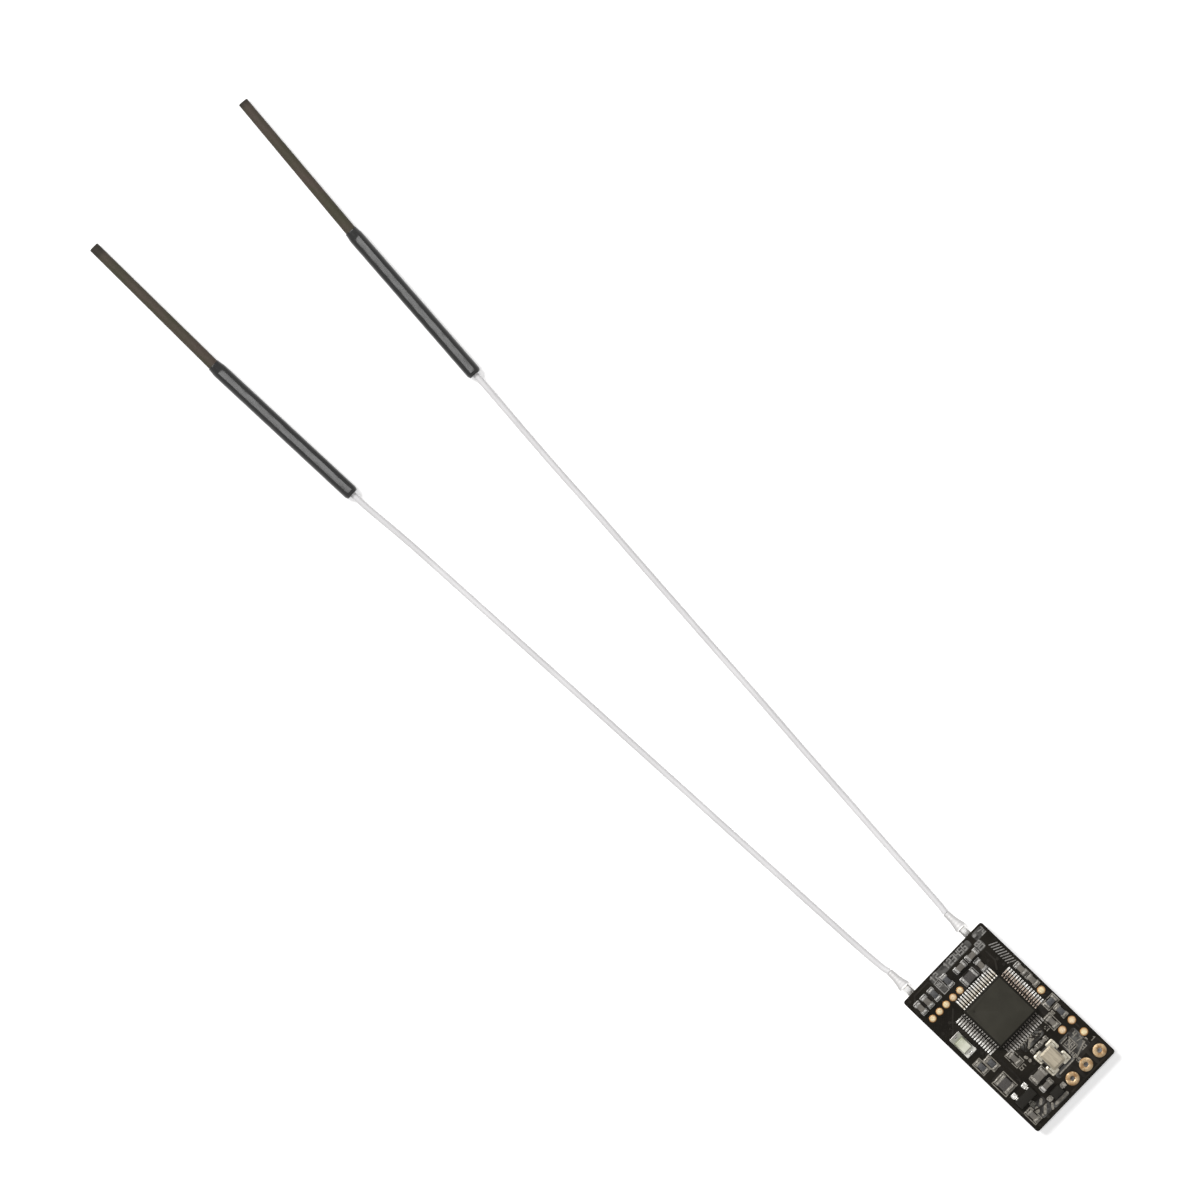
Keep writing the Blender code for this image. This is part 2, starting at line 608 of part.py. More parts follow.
def build_small_packages():
    half = REGULATOR_LEAD_PITCH / 2
    regulator_leads = ((0, 0.0), (2, half), (2, -half))
    build_leaded("regulator", REGULATOR_SIZE, regulator_leads, REGULATOR_LEAD_REACH)
    build_leaded("diode", DIODE_SIZE, ((1, 0.0), (3, 0.0)), DIODE_LEAD_REACH)


def build_crystal():
    """A ceramic base with a quarter-round notch at each corner, and the metal lid on it."""
    length, width, height = CRYSTAL_BASE
    spot, _ = on_board("crystal")
    base_mesh = box_mesh("crystal_base", CRYSTAL_BASE, (0.0, 0.0, height / 2))
    base = add_part("crystal_base", base_mesh, CERAMIC_BASE, spot)

    def draw(bm):
        for x in (-length / 2, length / 2):
            for y in (-width / 2, width / 2):
                draw_cylinder(bm, CRYSTAL_NOTCH, 2 * height, (x, y, height / 2))
    combine(base, add_tool("crystal_notches", mesh_from("crystal_notches", draw), base), "DIFFERENCE")

    lid_size = (length - 2 * CRYSTAL_LID_MARGIN, width - 2 * CRYSTAL_LID_MARGIN, CRYSTAL_LID_HEIGHT)
    lid_place = (spot[0], spot[1], spot[2] + height + SEAT_GAP)
    add_part("crystal_lid", slab_mesh("crystal_lid", lid_size, LID_CORNER), LID_METAL, lid_place)


def build_light():
    """A chip light: a flat base with a half-round notch at each end, and a drafted clear lens."""
    length, width, height = LIGHT_BASE
    spot, _ = on_board("light")
    base_mesh = box_mesh("led_base", LIGHT_BASE, (0.0, 0.0, height / 2))
    base = add_part("led_base", base_mesh, LIGHT_WHITE, spot)

    def draw(bm):
        for x in (-length / 2, length / 2):
            draw_cylinder(bm, LIGHT_NOTCH, 2 * height, (x, 0.0, height / 2))
    combine(base, add_tool("led_notches", mesh_from("led_notches", draw), base), "DIFFERENCE")

    def draw_lens(bm):
        draw_box(bm, LIGHT_LENS, (0.0, 0.0, LIGHT_LENS[2] / 2))
        for corner in bm.verts:
            if corner.co.z > LIGHT_LENS[2] / 2:
                corner.co.x -= math.copysign(LIGHT_DRAFT, corner.co.x)
                corner.co.y -= math.copysign(LIGHT_DRAFT, corner.co.y)
    lens_place = (spot[0], spot[1], spot[2] + height + SEAT_GAP)
    lens = add_part("led_lens", mesh_from("led_lens", draw_lens), LENS_YELLOW, lens_place)
    bevel = lens.modifiers.new("soft edges", "BEVEL")
    bevel.width = LIGHT_DRAFT / 2
    bevel.segments = 2


def chip_case_mesh(name, case):
    """A ceramic bar that stands on z = 0, with a metal cap a little proud of it at each end."""
    length, width, height, cap = case

    def draw(bm):
        draw_box(bm, (length, width, height), (0.0, 0.0, height / 2))
        for side in (-1, 1):
            whole = bm.verts[:] + bm.edges[:] + bm.faces[:]
            cut = (side * (length / 2 - cap), 0.0, 0.0)
            bmesh.ops.bisect_plane(bm, geom=whole, plane_co=cut, plane_no=(1, 0, 0))
        between = [f for f in bm.faces if abs(f.calc_center_median().x) < cap / 4]
        grown = bmesh.ops.extrude_face_region(bm, geom=between)["geom"]
        bmesh.ops.delete(bm, geom=between, context="FACES_ONLY")
        for corner in (v for v in grown if isinstance(v, bmesh.types.BMVert)):
            corner.co.y -= math.copysign(CAP_STEP, corner.co.y)
            corner.co.z += CAP_STEP if corner.co.z < height / 2 else -CAP_STEP
        bmesh.ops.recalc_face_normals(bm, faces=bm.faces)
    return mesh_from(name, draw)


def build_chip_parts():
    """Chip capacitors, resistors, the bead and the inductor, each lying along X or along Y."""
    kinds = {
        "capacitor": (chip_case_mesh("capacitor", CAPACITOR_CASE), CERAMIC_TAN),
        "load_capacitor": (chip_case_mesh("load_capacitor", SMALL_CAPACITOR_CASE), CERAMIC_TAN),
        "supply_capacitor": (chip_case_mesh("supply_capacitor", SUPPLY_CASE), CERAMIC_TAN),
        "resistor": (chip_case_mesh("resistor", RESISTOR_CASE), RESISTOR_BLACK),
        "ferrite_bead": (chip_case_mesh("ferrite_bead", BEAD_CASE), FERRITE),
        "power_inductor": (chip_case_mesh("power_inductor", INDUCTOR_CASE), FERRITE),
    }
    for kind, (mesh, material) in kinds.items():
        places = PLACES[kind]
        for i in range(len(places)):
            name = f"{kind}_{i + 1}" if len(places) > 1 else kind
            spot, turn = on_board(kind, i)
            add_part(name, mesh, material, spot, turn)


def leadless_mesh(name, side, height):
    """A square moulding with its outer rim bevelled, just above z = 0."""
    def draw(bm):
        draw_box(bm, (side, side, height), (0.0, 0.0, LAND_SIZE[2] / 2 + height / 2))
        rim = [e for e in bm.edges if min(v.co.z for v in e.verts) > height / 2]
        bmesh.ops.bevel(bm, geom=rim, offset=CHIP_EDGE, segments=1, affect="EDGES", profile=0.5)
    return mesh_from(name, draw)


def build_leadless(name, side, height, lands, spot):
    """A leadless chip hung under the board, with its lands up against the board."""
    part = add_part(name, leadless_mesh(name, side, height), CHIP_PLASTIC, spot, 0.0, True)

    def draw(bm):
        for quarter in range(4):
            turn = Matrix.Rotation(quarter * QUARTER, 4, "Z")
            for i in range(lands):
                along = (i - (lands - 1) / 2) * LAND_PITCH
                out = side / 2 + LAND_PROUD - LAND_SIZE[0] / 2
                verts = draw_box(bm, LAND_SIZE, (out, along, LAND_SIZE[2] / 2))
                bmesh.ops.transform(bm, matrix=turn, verts=verts)
    tool = add_tool(f"{name}_lands", mesh_from(f"{name}_lands", draw), part)
    combine(part, tool, "UNION")


def build_underside():
    """The radio, the antenna switch and the two tall capacitors that the far end stands on."""
    build_leadless("radio_chip", RADIO_SIDE, RADIO_HEIGHT, RADIO_LANDS, under_board(*RADIO_PLACE))
    build_leadless("antenna_switch", SWITCH_SIDE, SWITCH_HEIGHT, SWITCH_LANDS,
                   under_board(*SWITCH_PLACE))
    mesh = chip_case_mesh("bulk_capacitor", BULK_CASE)
    for number, place in enumerate(BULK_PLACES, 1):
        add_part(f"bulk_capacitor_{number}", mesh, CERAMIC_TAN, under_board(*place), QUARTER, True)


def build_socket(number, y):
    """A board socket, seen from below: square base, two solder tabs, round shell and pin."""
    base_mesh = box_mesh("socket_base", (SOCKET_SIDE, SOCKET_SIDE, SOCKET_BASE),
                         (0.0, 0.0, SOCKET_BASE / 2))
    place = (SOCKET_X, y, BOARD_BOTTOM - SEAT_GAP)
    socket = add_part(f"antenna_socket_{number}", base_mesh, SOCKET_METAL, place, 0.0, True)

    tab_width, tab_reach, tab_height = SOCKET_TAB
    tab_span = (tab_width, SOCKET_SIDE + 2 * tab_reach, tab_height)
    tab_mesh = box_mesh("socket_tabs", tab_span, (0.0, 0.0, tab_height / 2))
    combine(socket, add_tool(f"socket_tabs_{number}", tab_mesh, socket), "UNION")

    rim = SOCKET_BASE + SOCKET_RING_DROP
    inner = SOCKET_RING - SOCKET_RING_WALL
    shell_profile = [(inner, rim), (SOCKET_RING, rim), (SOCKET_RING, SOCKET_BASE / 2),
                     (inner, SOCKET_BASE / 2)]
    shell = add_tool(f"socket_shell_{number}", turned_mesh("socket_shell", shell_profile), socket)
    turn_profile(shell)
    combine(socket, shell, "UNION")
    pin_mesh = cylinder_mesh("socket_pin", SOCKET_PIN, rim, (0.0, 0.0, rim / 2))
    combine(socket, add_tool(f"socket_pin_{number}", pin_mesh, socket), "UNION")


def draw_loft(bm, stations):
    """Elliptical rings along -X, each joined to the next, and closed at both ends."""
    rings = []
    for run, half_width, half_height, level in stations:
        angles = [i * 2 * math.pi / ROUND_STEPS for i in range(ROUND_STEPS)]
        places = [(-run, half_width * math.cos(a), level + half_height * math.sin(a)) for a in angles]
        rings.append([bm.verts.new(Vector(place) * MM) for place in places])
    for ring, following in zip(rings, rings[1:]):
        for i in range(ROUND_STEPS):
            bm.faces.new((ring[i - 1], ring[i], following[i], following[i - 1]))
    bm.faces.new(rings[0])
    bm.faces.new(rings[-1])
    bmesh.ops.recalc_face_normals(bm, faces=bm.faces)


def build_plug(number, y):
    """A snap-on plug: a turned cap over the socket's shell, and the crimp that holds the cable."""
    inner = SOCKET_RING + PLUG_FIT
    outer = inner + PLUG_WALL
    cap_profile = [
        (0.0, PLUG_FLOOR), (inner, PLUG_FLOOR), (inner, PLUG_HEIGHT), (outer, PLUG_HEIGHT),
        (outer, PLUG_EDGE), (outer - PLUG_EDGE, 0.0), (0.0, 0.0),
    ]
    place = (SOCKET_X, y, REST_GAP)
    plug = add_part(f"antenna_plug_{number}", turned_mesh("plug_cap", cap_profile), PLUG_METAL, place)
    turn_profile(plug)

    crimp_mesh = mesh_from("plug_crimp", lambda bm: draw_loft(bm, CRIMP_STATIONS))
    crimp = add_tool(f"plug_crimp_{number}", crimp_mesh, plug, (0.0, 0.0, -REST_GAP))
    combine(plug, crimp, "UNION")


def heading(degrees, drop=0.0):
    """A unit direction in the plane of the surface, or dipping a little towards it."""
    turn = math.radians(degrees)
    flat = math.cos(drop)
    return Vector((math.cos(turn) * flat, math.sin(turn) * flat, -math.sin(drop)))


def lying_point(point):
    """A point of a cable's route, in metres, at the height at which the cable's middle lies."""
    x, y, lift = (share * MM for share in point)
    return Vector((x, y, lift + CABLE_DIAMETER / 2 + REST_GAP))


def antenna_axes(route, headings):
    """Where the sleeve's mouth is, the sleeve's direction, the joint in the lap and the tip's."""
    mouth = lying_point(route[-1])
    along = heading(headings[0])
    lap_middle = mouth + along * (SLEEVE_LENGTH - TIP_LAP / 2)
    drop = math.asin((SLEEVE_DIAMETER - TIP_DIAMETER) / 2 / (TIP_LENGTH + TIP_LAP / 2))
    return mouth, along, lap_middle, heading(headings[1], drop)


def smooth_points(points, step):
    """Points a fixed step apart on the smooth curve that passes through every given point."""
    ends = [points[0] * 2 - points[1], *points, points[-1] * 2 - points[-2]]
    fine = []
    for before, here, there, after in zip(ends, ends[1:], ends[2:], ends[3:]):
        for i in range(CURVE_SAMPLES):
            t = i / CURVE_SAMPLES
            fine.append(0.5 * (
                2 * here + (there - before) * t
                + (2 * before - 5 * here + 4 * there - after) * t ** 2
                + (3 * here - before - 3 * there + after) * t ** 3
            ))
    fine.append(points[-1])
    total = sum((b - a).length for a, b in zip(fine, fine[1:]))
    spacing = total / math.ceil(total / step)
    kept, run = [fine[0]], 0.0
    for a, b in zip(fine, fine[1:]):
        length = (b - a).length
        while run + length >= spacing * len(kept) and length > 0:
            kept.append(a.lerp(b, (spacing * len(kept) - run) / length))
        run += length
    if (kept[-1] - points[-1]).length > spacing / 2:
        kept.append(points[-1])
    kept[-1] = points[-1]
    return kept


def build_cable(number, y, route, headings):
    """The coax: from the crimp down onto the surface, along it, and up into the sleeve."""
    mouth, along, _, _ = antenna_axes(route, headings)
    inner_end = SLEEVE_LENGTH - TIP_LAP - 2 * END_GAP
    start = Vector((SOCKET_X - PLUG_TAIL - CABLE_GAP, y, CABLE_EXIT_HEIGHT))
    points = [start]
    points += [lying_point(point) for point in route[:-1]]
    points += [mouth + along * s for s in (-CABLE_LEAD_IN, 0.0, inner_end / 2, inner_end)]
    curve = bpy.data.curves.new(f"coax_cable_{number}", "CURVE")
    curve.dimensions = "3D"
    curve.bevel_depth = CABLE_DIAMETER / 2
    curve.bevel_resolution = 2
    curve.use_fill_caps = True
    spline = curve.splines.new("POLY")
    line = smooth_points(points, CABLE_STEP)
    spline.points.add(len(line) - 1)
    for target, point in zip(spline.points, line):
        target.co = (*point, 1.0)
    add_part(f"coax_cable_{number}", curve, COAX_GREY)


def add_turned(name, profile, material, base, direction):
    """A turned part whose profile's height runs from base along the direction."""
    part = add_part(name, turned_mesh(name, profile), material, base)
    part.rotation_mode = "QUATERNION"
    part.rotation_quaternion = direction.to_track_quat("Z", "Y")
    turn_profile(part)


def tube_profile(inner, outer_start, outer_end, start, end):
    """The section of a tube that may taper, as a closed loop."""
    return [(inner, end), (outer_end, end), (outer_start, start), (inner, start)]


def build_antenna(number, route, headings):
    """Brass sleeve in its shrink jacket, then the slimmer tip tube with the bare core inside."""
    mouth, along, lap_middle, tip_direction = antenna_axes(route, headings)
    bore, outer = SLEEVE_DIAMETER / 2 - JACKET_WALL, SLEEVE_DIAMETER / 2
    lip = bore + SHOULDER_LIP
    shoulder = SLEEVE_LENGTH - SHOULDER_LENGTH
    jacket_profile = [
        (bore, SLEEVE_LENGTH),
        (lip, SLEEVE_LENGTH),
        (outer - SHOULDER_LIP, shoulder + SHOULDER_LENGTH / 3),
        (outer, shoulder),
        (outer, MOUTH_EDGE),
        (outer - MOUTH_EDGE, 0.0),
        (bore, 0.0),
    ]
    add_turned(f"sleeve_jacket_{number}", jacket_profile, JACKET_BLACK, mouth, along)

    brass_outer = bore - BRASS_FIT
    brass_inner = brass_outer - BRASS_WALL
    brass_end = SLEEVE_LENGTH - TIP_LAP - END_GAP
    brass_profile = tube_profile(brass_inner, brass_outer, brass_outer, MOUTH_RECESS, brass_end)
    add_turned(f"brass_sleeve_{number}", brass_profile, BRASS, mouth, along)

    start, end = -TIP_LAP / 2, TIP_LENGTH + TIP_LAP / 2
    tip_profile = tube_profile(TIP_BORE / 2, TIP_ROOT_DIAMETER / 2, TIP_DIAMETER / 2, start, end)
    add_turned(f"tip_tube_{number}", tip_profile, TIP_OLIVE, lap_middle, tip_direction)

    wire = WIRE_DIAMETER / 2
    wire_profile = [(0.0, end - WIRE_RECESS), (wire, end - WIRE_RECESS), (wire, start), (0.0, start)]
    add_turned(f"radiator_wire_{number}", wire_profile, CORE_WHITE, lap_middle, tip_direction)


build_board()
build_plated_holes()
build_pads()
build_microcontroller()
build_small_packages()
build_crystal()
build_light()
build_chip_parts()
build_underside()
for index, (socket_y, route_points, lies) in enumerate(zip(SOCKET_Y, ROUTES, HEADINGS), 1):
    build_socket(index, socket_y)
    build_plug(index, socket_y)
    build_cable(index, socket_y, route_points, lies)
    build_antenna(index, route_points, lies)
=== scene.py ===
# %% [markdown]
# A micro radio control receiver is a circuit board no wider than a thumbnail, from whose short edge
# two thin coaxial cables run out to a pair of sleeve antennas. This file dresses its imported solids
# for a close look: it reads where every solid is, and lays finer surfaces and painted finishes over
# them. Nothing may grow past it.

import math

import bmesh
import bpy
import numpy as np
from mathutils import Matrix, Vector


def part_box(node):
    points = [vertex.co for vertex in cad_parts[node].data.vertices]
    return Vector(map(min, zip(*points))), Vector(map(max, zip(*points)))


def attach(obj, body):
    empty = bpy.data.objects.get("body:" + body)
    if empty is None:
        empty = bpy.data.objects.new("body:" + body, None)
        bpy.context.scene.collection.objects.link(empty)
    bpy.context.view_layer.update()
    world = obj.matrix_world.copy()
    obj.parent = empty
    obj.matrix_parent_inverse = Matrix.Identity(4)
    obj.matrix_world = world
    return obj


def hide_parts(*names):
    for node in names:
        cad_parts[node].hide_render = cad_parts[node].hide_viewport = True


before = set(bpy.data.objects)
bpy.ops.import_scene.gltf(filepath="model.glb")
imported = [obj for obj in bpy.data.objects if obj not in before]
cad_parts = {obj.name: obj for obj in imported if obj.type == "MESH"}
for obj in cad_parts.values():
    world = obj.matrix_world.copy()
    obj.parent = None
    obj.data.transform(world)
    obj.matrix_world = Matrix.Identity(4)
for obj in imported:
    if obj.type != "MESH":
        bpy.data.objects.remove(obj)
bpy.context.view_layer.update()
MM = 0.001
scene = bpy.context.scene
scene.view_settings.view_transform = "Standard"

# %% [markdown]
# The photograph looks straight down from far away. A long lens at 1.3 m flattens the view as much,
# and the camera is rolled until the board lies across the lower right corner of the frame.

# %% The camera
FRAME_WIDTH = 156.0  # mm of the table that the frame shows
VIEW_MIDDLE = (-76.84, 3.17)
VIEW_ROLL = 43.85
LENS, SENSOR = 300.0, 36.0
BOARD_LEVEL = 2.0

eye = bpy.data.objects.new("camera", bpy.data.cameras.new("camera"))
eye.data.lens, eye.data.sensor_width = LENS, SENSOR
height = FRAME_WIDTH * LENS / SENSOR + BOARD_LEVEL
eye.location = (VIEW_MIDDLE[0] * MM, VIEW_MIDDLE[1] * MM, height * MM)
eye.rotation_euler = (0.0, 0.0, math.radians(VIEW_ROLL))
scene.collection.objects.link(eye)
scene.camera = eye
print("camera", round(height), "mm above the table")

# %% [markdown]
# Every finish below is a small shader graph. Wired up by hand, one line of arithmetic becomes a
# dozen calls, so a value in a graph is wrapped in a class whose operators add the Math nodes. The
# Graph class keeps one node tree, and its node() makes any other node in one call. A Paint is the
# graph of one material, with its Principled shader and the patterns that finishes are made of.

# %% Shader values that can be added and multiplied
NOISE_SPAN = (0.32, 0.68)  # the part of its range in which noise nearly always lies


class Wire:
    """A value in a node tree: arithmetic on it adds the Math node that works it out."""

    def __init__(self, graph, socket):
        self.graph, self.socket = graph, socket

    def __add__(self, other):
        return self.graph.math("ADD", self, other)

    def __sub__(self, other):
        return self.graph.math("SUBTRACT", self, other)

    def __rsub__(self, other):
        return self.graph.math("SUBTRACT", other, self)

    def __mul__(self, other):
        return self.graph.math("MULTIPLY", self, other)

    __radd__ = __add__

    def __abs__(self):
        return self.graph.math("ABSOLUTE", self)

    def sine(self):
        return self.graph.math("SINE", self)

    def between(self, low, high):
        """0 below low, 1 above high, and a smooth step in between."""
        ends = {"Value": self, "From Min": low, "From Max": high}
        return self.graph.node("ShaderNodeMapRange", {"interpolation_type": "SMOOTHSTEP"}, ends)


class Graph:
    """A node tree, and the helpers that add nodes and wires to it."""

    def __init__(self, tree):
        self.tree = tree

    def feed(self, socket, value):
        if isinstance(value, Wire):
            self.tree.links.new(value.socket, socket)
        else:
            socket.default_value = value

    def node(self, kind, settings=None, inputs=None, out=0):
        """Any node: its settings first, then the values or wires of its sockets."""
        made = self.tree.nodes.new(kind)
        for key, value in (settings or {}).items():
            setattr(made, key, value)
        for key, value in (inputs or {}).items():
            self.feed(made.inputs[key], value)
        return Wire(self, made.outputs[out])

    def math(self, operation, *values):
        return self.node("ShaderNodeMath", {"operation": operation}, dict(enumerate(values)))

    def mix(self, amount, first, second):
        """From the first colour, where amount is 0, to the second, where it is 1."""
        ends = [c if isinstance(c, Wire) else (*c, 1.0) for c in (first, second)]
        inputs = {0: amount, 6: ends[0], 7: ends[1]}
        return self.node("ShaderNodeMix", {"data_type": "RGBA"}, inputs, 2)

    def shown(self):
        """1 for what the camera sees directly, in a mirror or through glass, and 0 for light."""
        kinds = ("Is Camera Ray", "Is Glossy Ray", "Is Transmission Ray")
        seen = [self.node("ShaderNodeLightPath", out=kind) for kind in kinds]
        return self.math("MAXIMUM", self.math("MAXIMUM", *seen[:2]), seen[2])


class Paint(Graph):
    """One material: its Principled shader, and the patterns that vary over it."""

    def __init__(self, name, metallic=0.0, **constants):
        self.material = bpy.data.materials.new(name)
        self.material.use_nodes = True
        super().__init__(self.material.node_tree)
        self.shader = self.tree.nodes["Principled BSDF"]
        self.put("Metallic", metallic)
        for key, value in constants.items():
            self.put(key.replace("_", " "), value)
        self.where = None

    def put(self, name, value):
        """Sets a socket of the shader, or feeds it a wire."""
        self.feed(self.shader.inputs[name], value)

    def place(self):
        """The point being shaded, in millimetres."""
        if self.where is None:
            point = self.node("ShaderNodeTexCoord", out="Object")
            scaled = {0: point, "Scale": 1 / MM}
            self.where = self.node("ShaderNodeVectorMath", {"operation": "SCALE"}, scaled)
        return self.where

    def axes(self):
        """Its x, y and z, each as a number."""
        parts = {0: self.place()}
        return [self.node("ShaderNodeSeparateXYZ", None, parts, out) for out in range(3)]

    def noise(self, per_mm, detail=2.0, stretch=(1.0, 1.0, 1.0)):
        """Cloudy noise, spread to the whole range from 0 to 1."""
        sides = {0: self.place(), 1: stretch}
        vector = self.node("ShaderNodeVectorMath", {"operation": "MULTIPLY"}, sides)
        inputs = {"Vector": vector, "Scale": per_mm, "Detail": detail}
        return self.node("ShaderNodeTexNoise", None, inputs).between(*NOISE_SPAN)

    def step(self, axis, low, high):
        """0 where x, y or z, axis 0, 1 or 2, is below low, and 1 where it is above high."""
        return self.axes()[axis].between(low, high)

    def band(self, axis, low, high, blur):
        """1 from low to high along an axis and 0 beyond, with edges as wide as blur."""
        return self.step(axis, low, low + blur) * (1 - self.step(axis, high - blur, high))

    def patch(self, x0, x1, y0, y1, blur=0.15):
        """1 on one rectangle of the board and 0 off it."""
        return self.band(0, x0, x1, blur) * self.band(1, y0, y1, blur)

    def dress(self, colour, rough, bumps=None, depth=0.0):
        """Gives it a colour, a roughness, and bumps at most depth millimetres high."""
        self.put("Base Color", colour)
        self.put("Roughness", rough)
        if depth:
            inputs = {"Height": bumps, "Distance": depth * MM, "Strength": 1.0}
            self.put("Normal", self.node("ShaderNodeBump", None, inputs))


def worn(name, noise, first, second, rough, depth=0.0, metallic=0.0, **constants):
    """A material as one cloud of noise wears it: the cloud takes its colour from the first to the
    second, its roughness from rough[0] up by rough[1], and its surface up by depth."""
    paint = Paint(name, metallic, **constants)
    cloud = paint.noise(*noise)
    roughness = rough[0] + cloud * rough[1] if rough[1] else rough[0]
    paint.dress(paint.mix(cloud, first, second), roughness, cloud, depth)
    return paint


print("shader values ready")

# %% [markdown]
# The table is one big pale sheet. It is lit like everything else, so the board's shadow stays on
# it, and a little light of its own, where it is seen and not where it lights, lifts it to white.
# Under the board it has none, a painted shade that keeps the gap there dark, as the plated holes
# show. The lamps give a flat surface as much light as its colour needs to render as written: a wide
# sun from beyond the cables, a dim sky, and a strip lamp across the antennas, which draws the broad
# shine along their black tubes. It hangs over them and not over the board, whose flat parts would
# mirror it. The sky is a plain white where it is seen, so bright metal has something to show.

# %% The table and the light
SUN_FROM, SUN_SPREAD = (-0.8, -0.12, 1.0), 22.0
# What each gives a flat white surface, though the strip's far ends slant and give less
SUN_LEVEL, LAMP_LEVEL, SKY_LEVEL = 0.53, 0.42, 0.17
TABLE_COLOUR, TABLE_GLOW, TABLE_SIDE, TABLE_DROP = (0.9, 0.893, 0.893), 0.42, 8.0, 0.02
# Where the table's glow is taken away: a painted shade under the board
BOARD_SHADE_AREA, BOARD_SHADE_BLUR = (-12.0, 12.0, -7.15, 7.15), 1.5  # just within the board's outline
LAMP_HEIGHT, LAMP_ACROSS, LAMP_ALONG, LAMP_X = 1.5, 2.7, 0.2, -0.175
LAMP_TURN = -2.1  # degrees, square to the two antennas on average

BLACK, WHITE = (0.0, 0.0, 0.0), (1.0, 1.0, 1.0)

table = Paint("table_white", Base_Color=(*TABLE_COLOUR, 1.0), Roughness=1.0, Specular_IOR_Level=0.0,
              Emission_Strength=TABLE_GLOW)
# No glow under the board: a painted shade there
unshaded_table = 1 - table.patch(*BOARD_SHADE_AREA, BOARD_SHADE_BLUR)
table.put("Emission Color", table.mix(table.shown() * unshaded_table, BLACK, WHITE))
top_mesh = bpy.data.meshes.new("table_top")
corners = np.array([(-1, -1, 0), (1, -1, 0), (1, 1, 0), (-1, 1, 0)]) * TABLE_SIDE / 2
corners[:, 2] = -TABLE_DROP * MM
top_mesh.from_pydata(corners.tolist(), [], [(0, 1, 2, 3)])
top_mesh.materials.append(table.material)
table_top = bpy.data.objects.new("table_top", top_mesh)
scene.collection.objects.link(table_top)

scene.world = bpy.data.worlds.new("studio")
scene.world.use_nodes = True
sky = Graph(scene.world.node_tree)
sky.tree.nodes.clear()
sky_colour = sky.mix(sky.shown(), (SKY_LEVEL,) * 3, WHITE)
sky_light = sky.node("ShaderNodeBackground", None, {"Color": sky_colour, "Strength": 1.0})
sky_out = sky.tree.nodes.new("ShaderNodeOutputWorld")
sky.feed(sky_out.inputs["Surface"], sky_light)


def add_lamp(name, kind, spot, aim_from, **settings):
    """A lamp at a spot that shines from aim_from towards the origin of that direction."""
    lamp = bpy.data.objects.new(name, bpy.data.lights.new(name, kind))
    for key, value in settings.items():
        setattr(lamp.data, key, value)
    back = np.array(aim_from) / np.linalg.norm(aim_from)
    lamp.location = spot
    lamp.rotation_euler = (math.acos(back[2]), 0.0, math.atan2(back[1], back[0]) + math.pi / 2)
    lamp.visible_camera = False
    scene.collection.objects.link(lamp)
    return lamp


sun_cosine = SUN_FROM[2] / float(np.linalg.norm(SUN_FROM))
add_lamp("sun", "SUN", (0.0, 0.0, 1.0), SUN_FROM, energy=SUN_LEVEL * math.pi / sun_cosine,
         angle=math.radians(SUN_SPREAD))
# A lamp of P watts looks P / (pi area) bright, and gives a flat white surface straight below it
# that times area / (pi distance squared)
strip = add_lamp("strip", "AREA", (LAMP_X, 0.0, LAMP_HEIGHT), (0.0, 0.0, 1.0), shape="RECTANGLE",
                 energy=LAMP_LEVEL * math.pi ** 2 * LAMP_HEIGHT ** 2, size=LAMP_ACROSS,
                 size_y=LAMP_ALONG)
strip.rotation_euler[2] += math.radians(LAMP_TURN)
print("sun at", round(math.degrees(math.asin(sun_cosine))), "degrees above the table")

# %% [markdown]
# All new pieces are grids of points worked out as whole arrays. A Shape gathers grids, each with
# the number of its finish, and becomes one closed mesh: the points that meet at a pole or a seam
# are merged and every face is turned outwards. Each row of a grid closes on itself.

# %% Gathering grids into a piece
SHARP_ANGLE, WELD = 38.0, 1e-7


class Shape:
    """Grids of points, in millimetres, gathered into one piece."""

    def __init__(self):
        self.points, self.quads, self.finishes, self.count = [], [], [], 0

    def add(self, points, finish=0):
        """Quads between each point of a grid and the next along its row and its column."""
        rows, columns = points.shape[-3:-1]
        total = points.size // 3
        index = self.count + np.arange(total).reshape(-1, rows, columns)
        index = np.concatenate([index, index[:, :, :1]], axis=2)
        here, there = index[:, :-1], index[:, 1:]
        quads = np.stack([here[..., :-1], here[..., 1:], there[..., 1:], there[..., :-1]], axis=-1)
        self.points.append(points.reshape(-1, 3))
        self.quads.append(quads.reshape(-1, 4))
        self.finishes.append(np.full(quads.size // 4, finish))
        self.count += total
        return self

    def make(self, name, finishes, slot, *nodes):
        """The mesh object, riding on the receiver and standing for the CAD nodes that it covers."""
        mesh = bpy.data.meshes.new(name)
        points = np.concatenate(self.points) * MM
        mesh.from_pydata(points.tolist(), [], np.concatenate(self.quads).tolist())
        for finish in finishes:
            mesh.materials.append(finish.material)
        mesh.polygons.foreach_set("material_index", np.concatenate(self.finishes).astype(np.int32))
        bm = bmesh.new()
        bm.from_mesh(mesh)
        bmesh.ops.remove_doubles(bm, verts=bm.verts, dist=WELD)
        bmesh.ops.recalc_face_normals(bm, faces=bm.faces)
        bm.to_mesh(mesh)
        bm.free()
        mesh.polygons.foreach_set("use_smooth", np.ones(len(mesh.polygons), bool))
        mesh.set_sharp_from_angle(angle=math.radians(SHARP_ANGLE))
        made = bpy.data.objects.new(name, mesh)
        scene.collection.objects.link(made)
        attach(made, "root")
        if nodes:
            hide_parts(*nodes)
        return made


def repaint(node, paint):
    """Keeps a solid whose shape is right, and gives it a better finish."""
    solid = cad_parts[node]
    solid.data.materials.clear()
    solid.data.materials.append(paint.material)
    return solid


def stance(node):
    """A node's size in millimetres, and the spot in the middle of its underside."""
    low, high = [np.array(corner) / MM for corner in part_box(node)]
    return high - low, np.append((low + high)[:2] / 2, low[2])


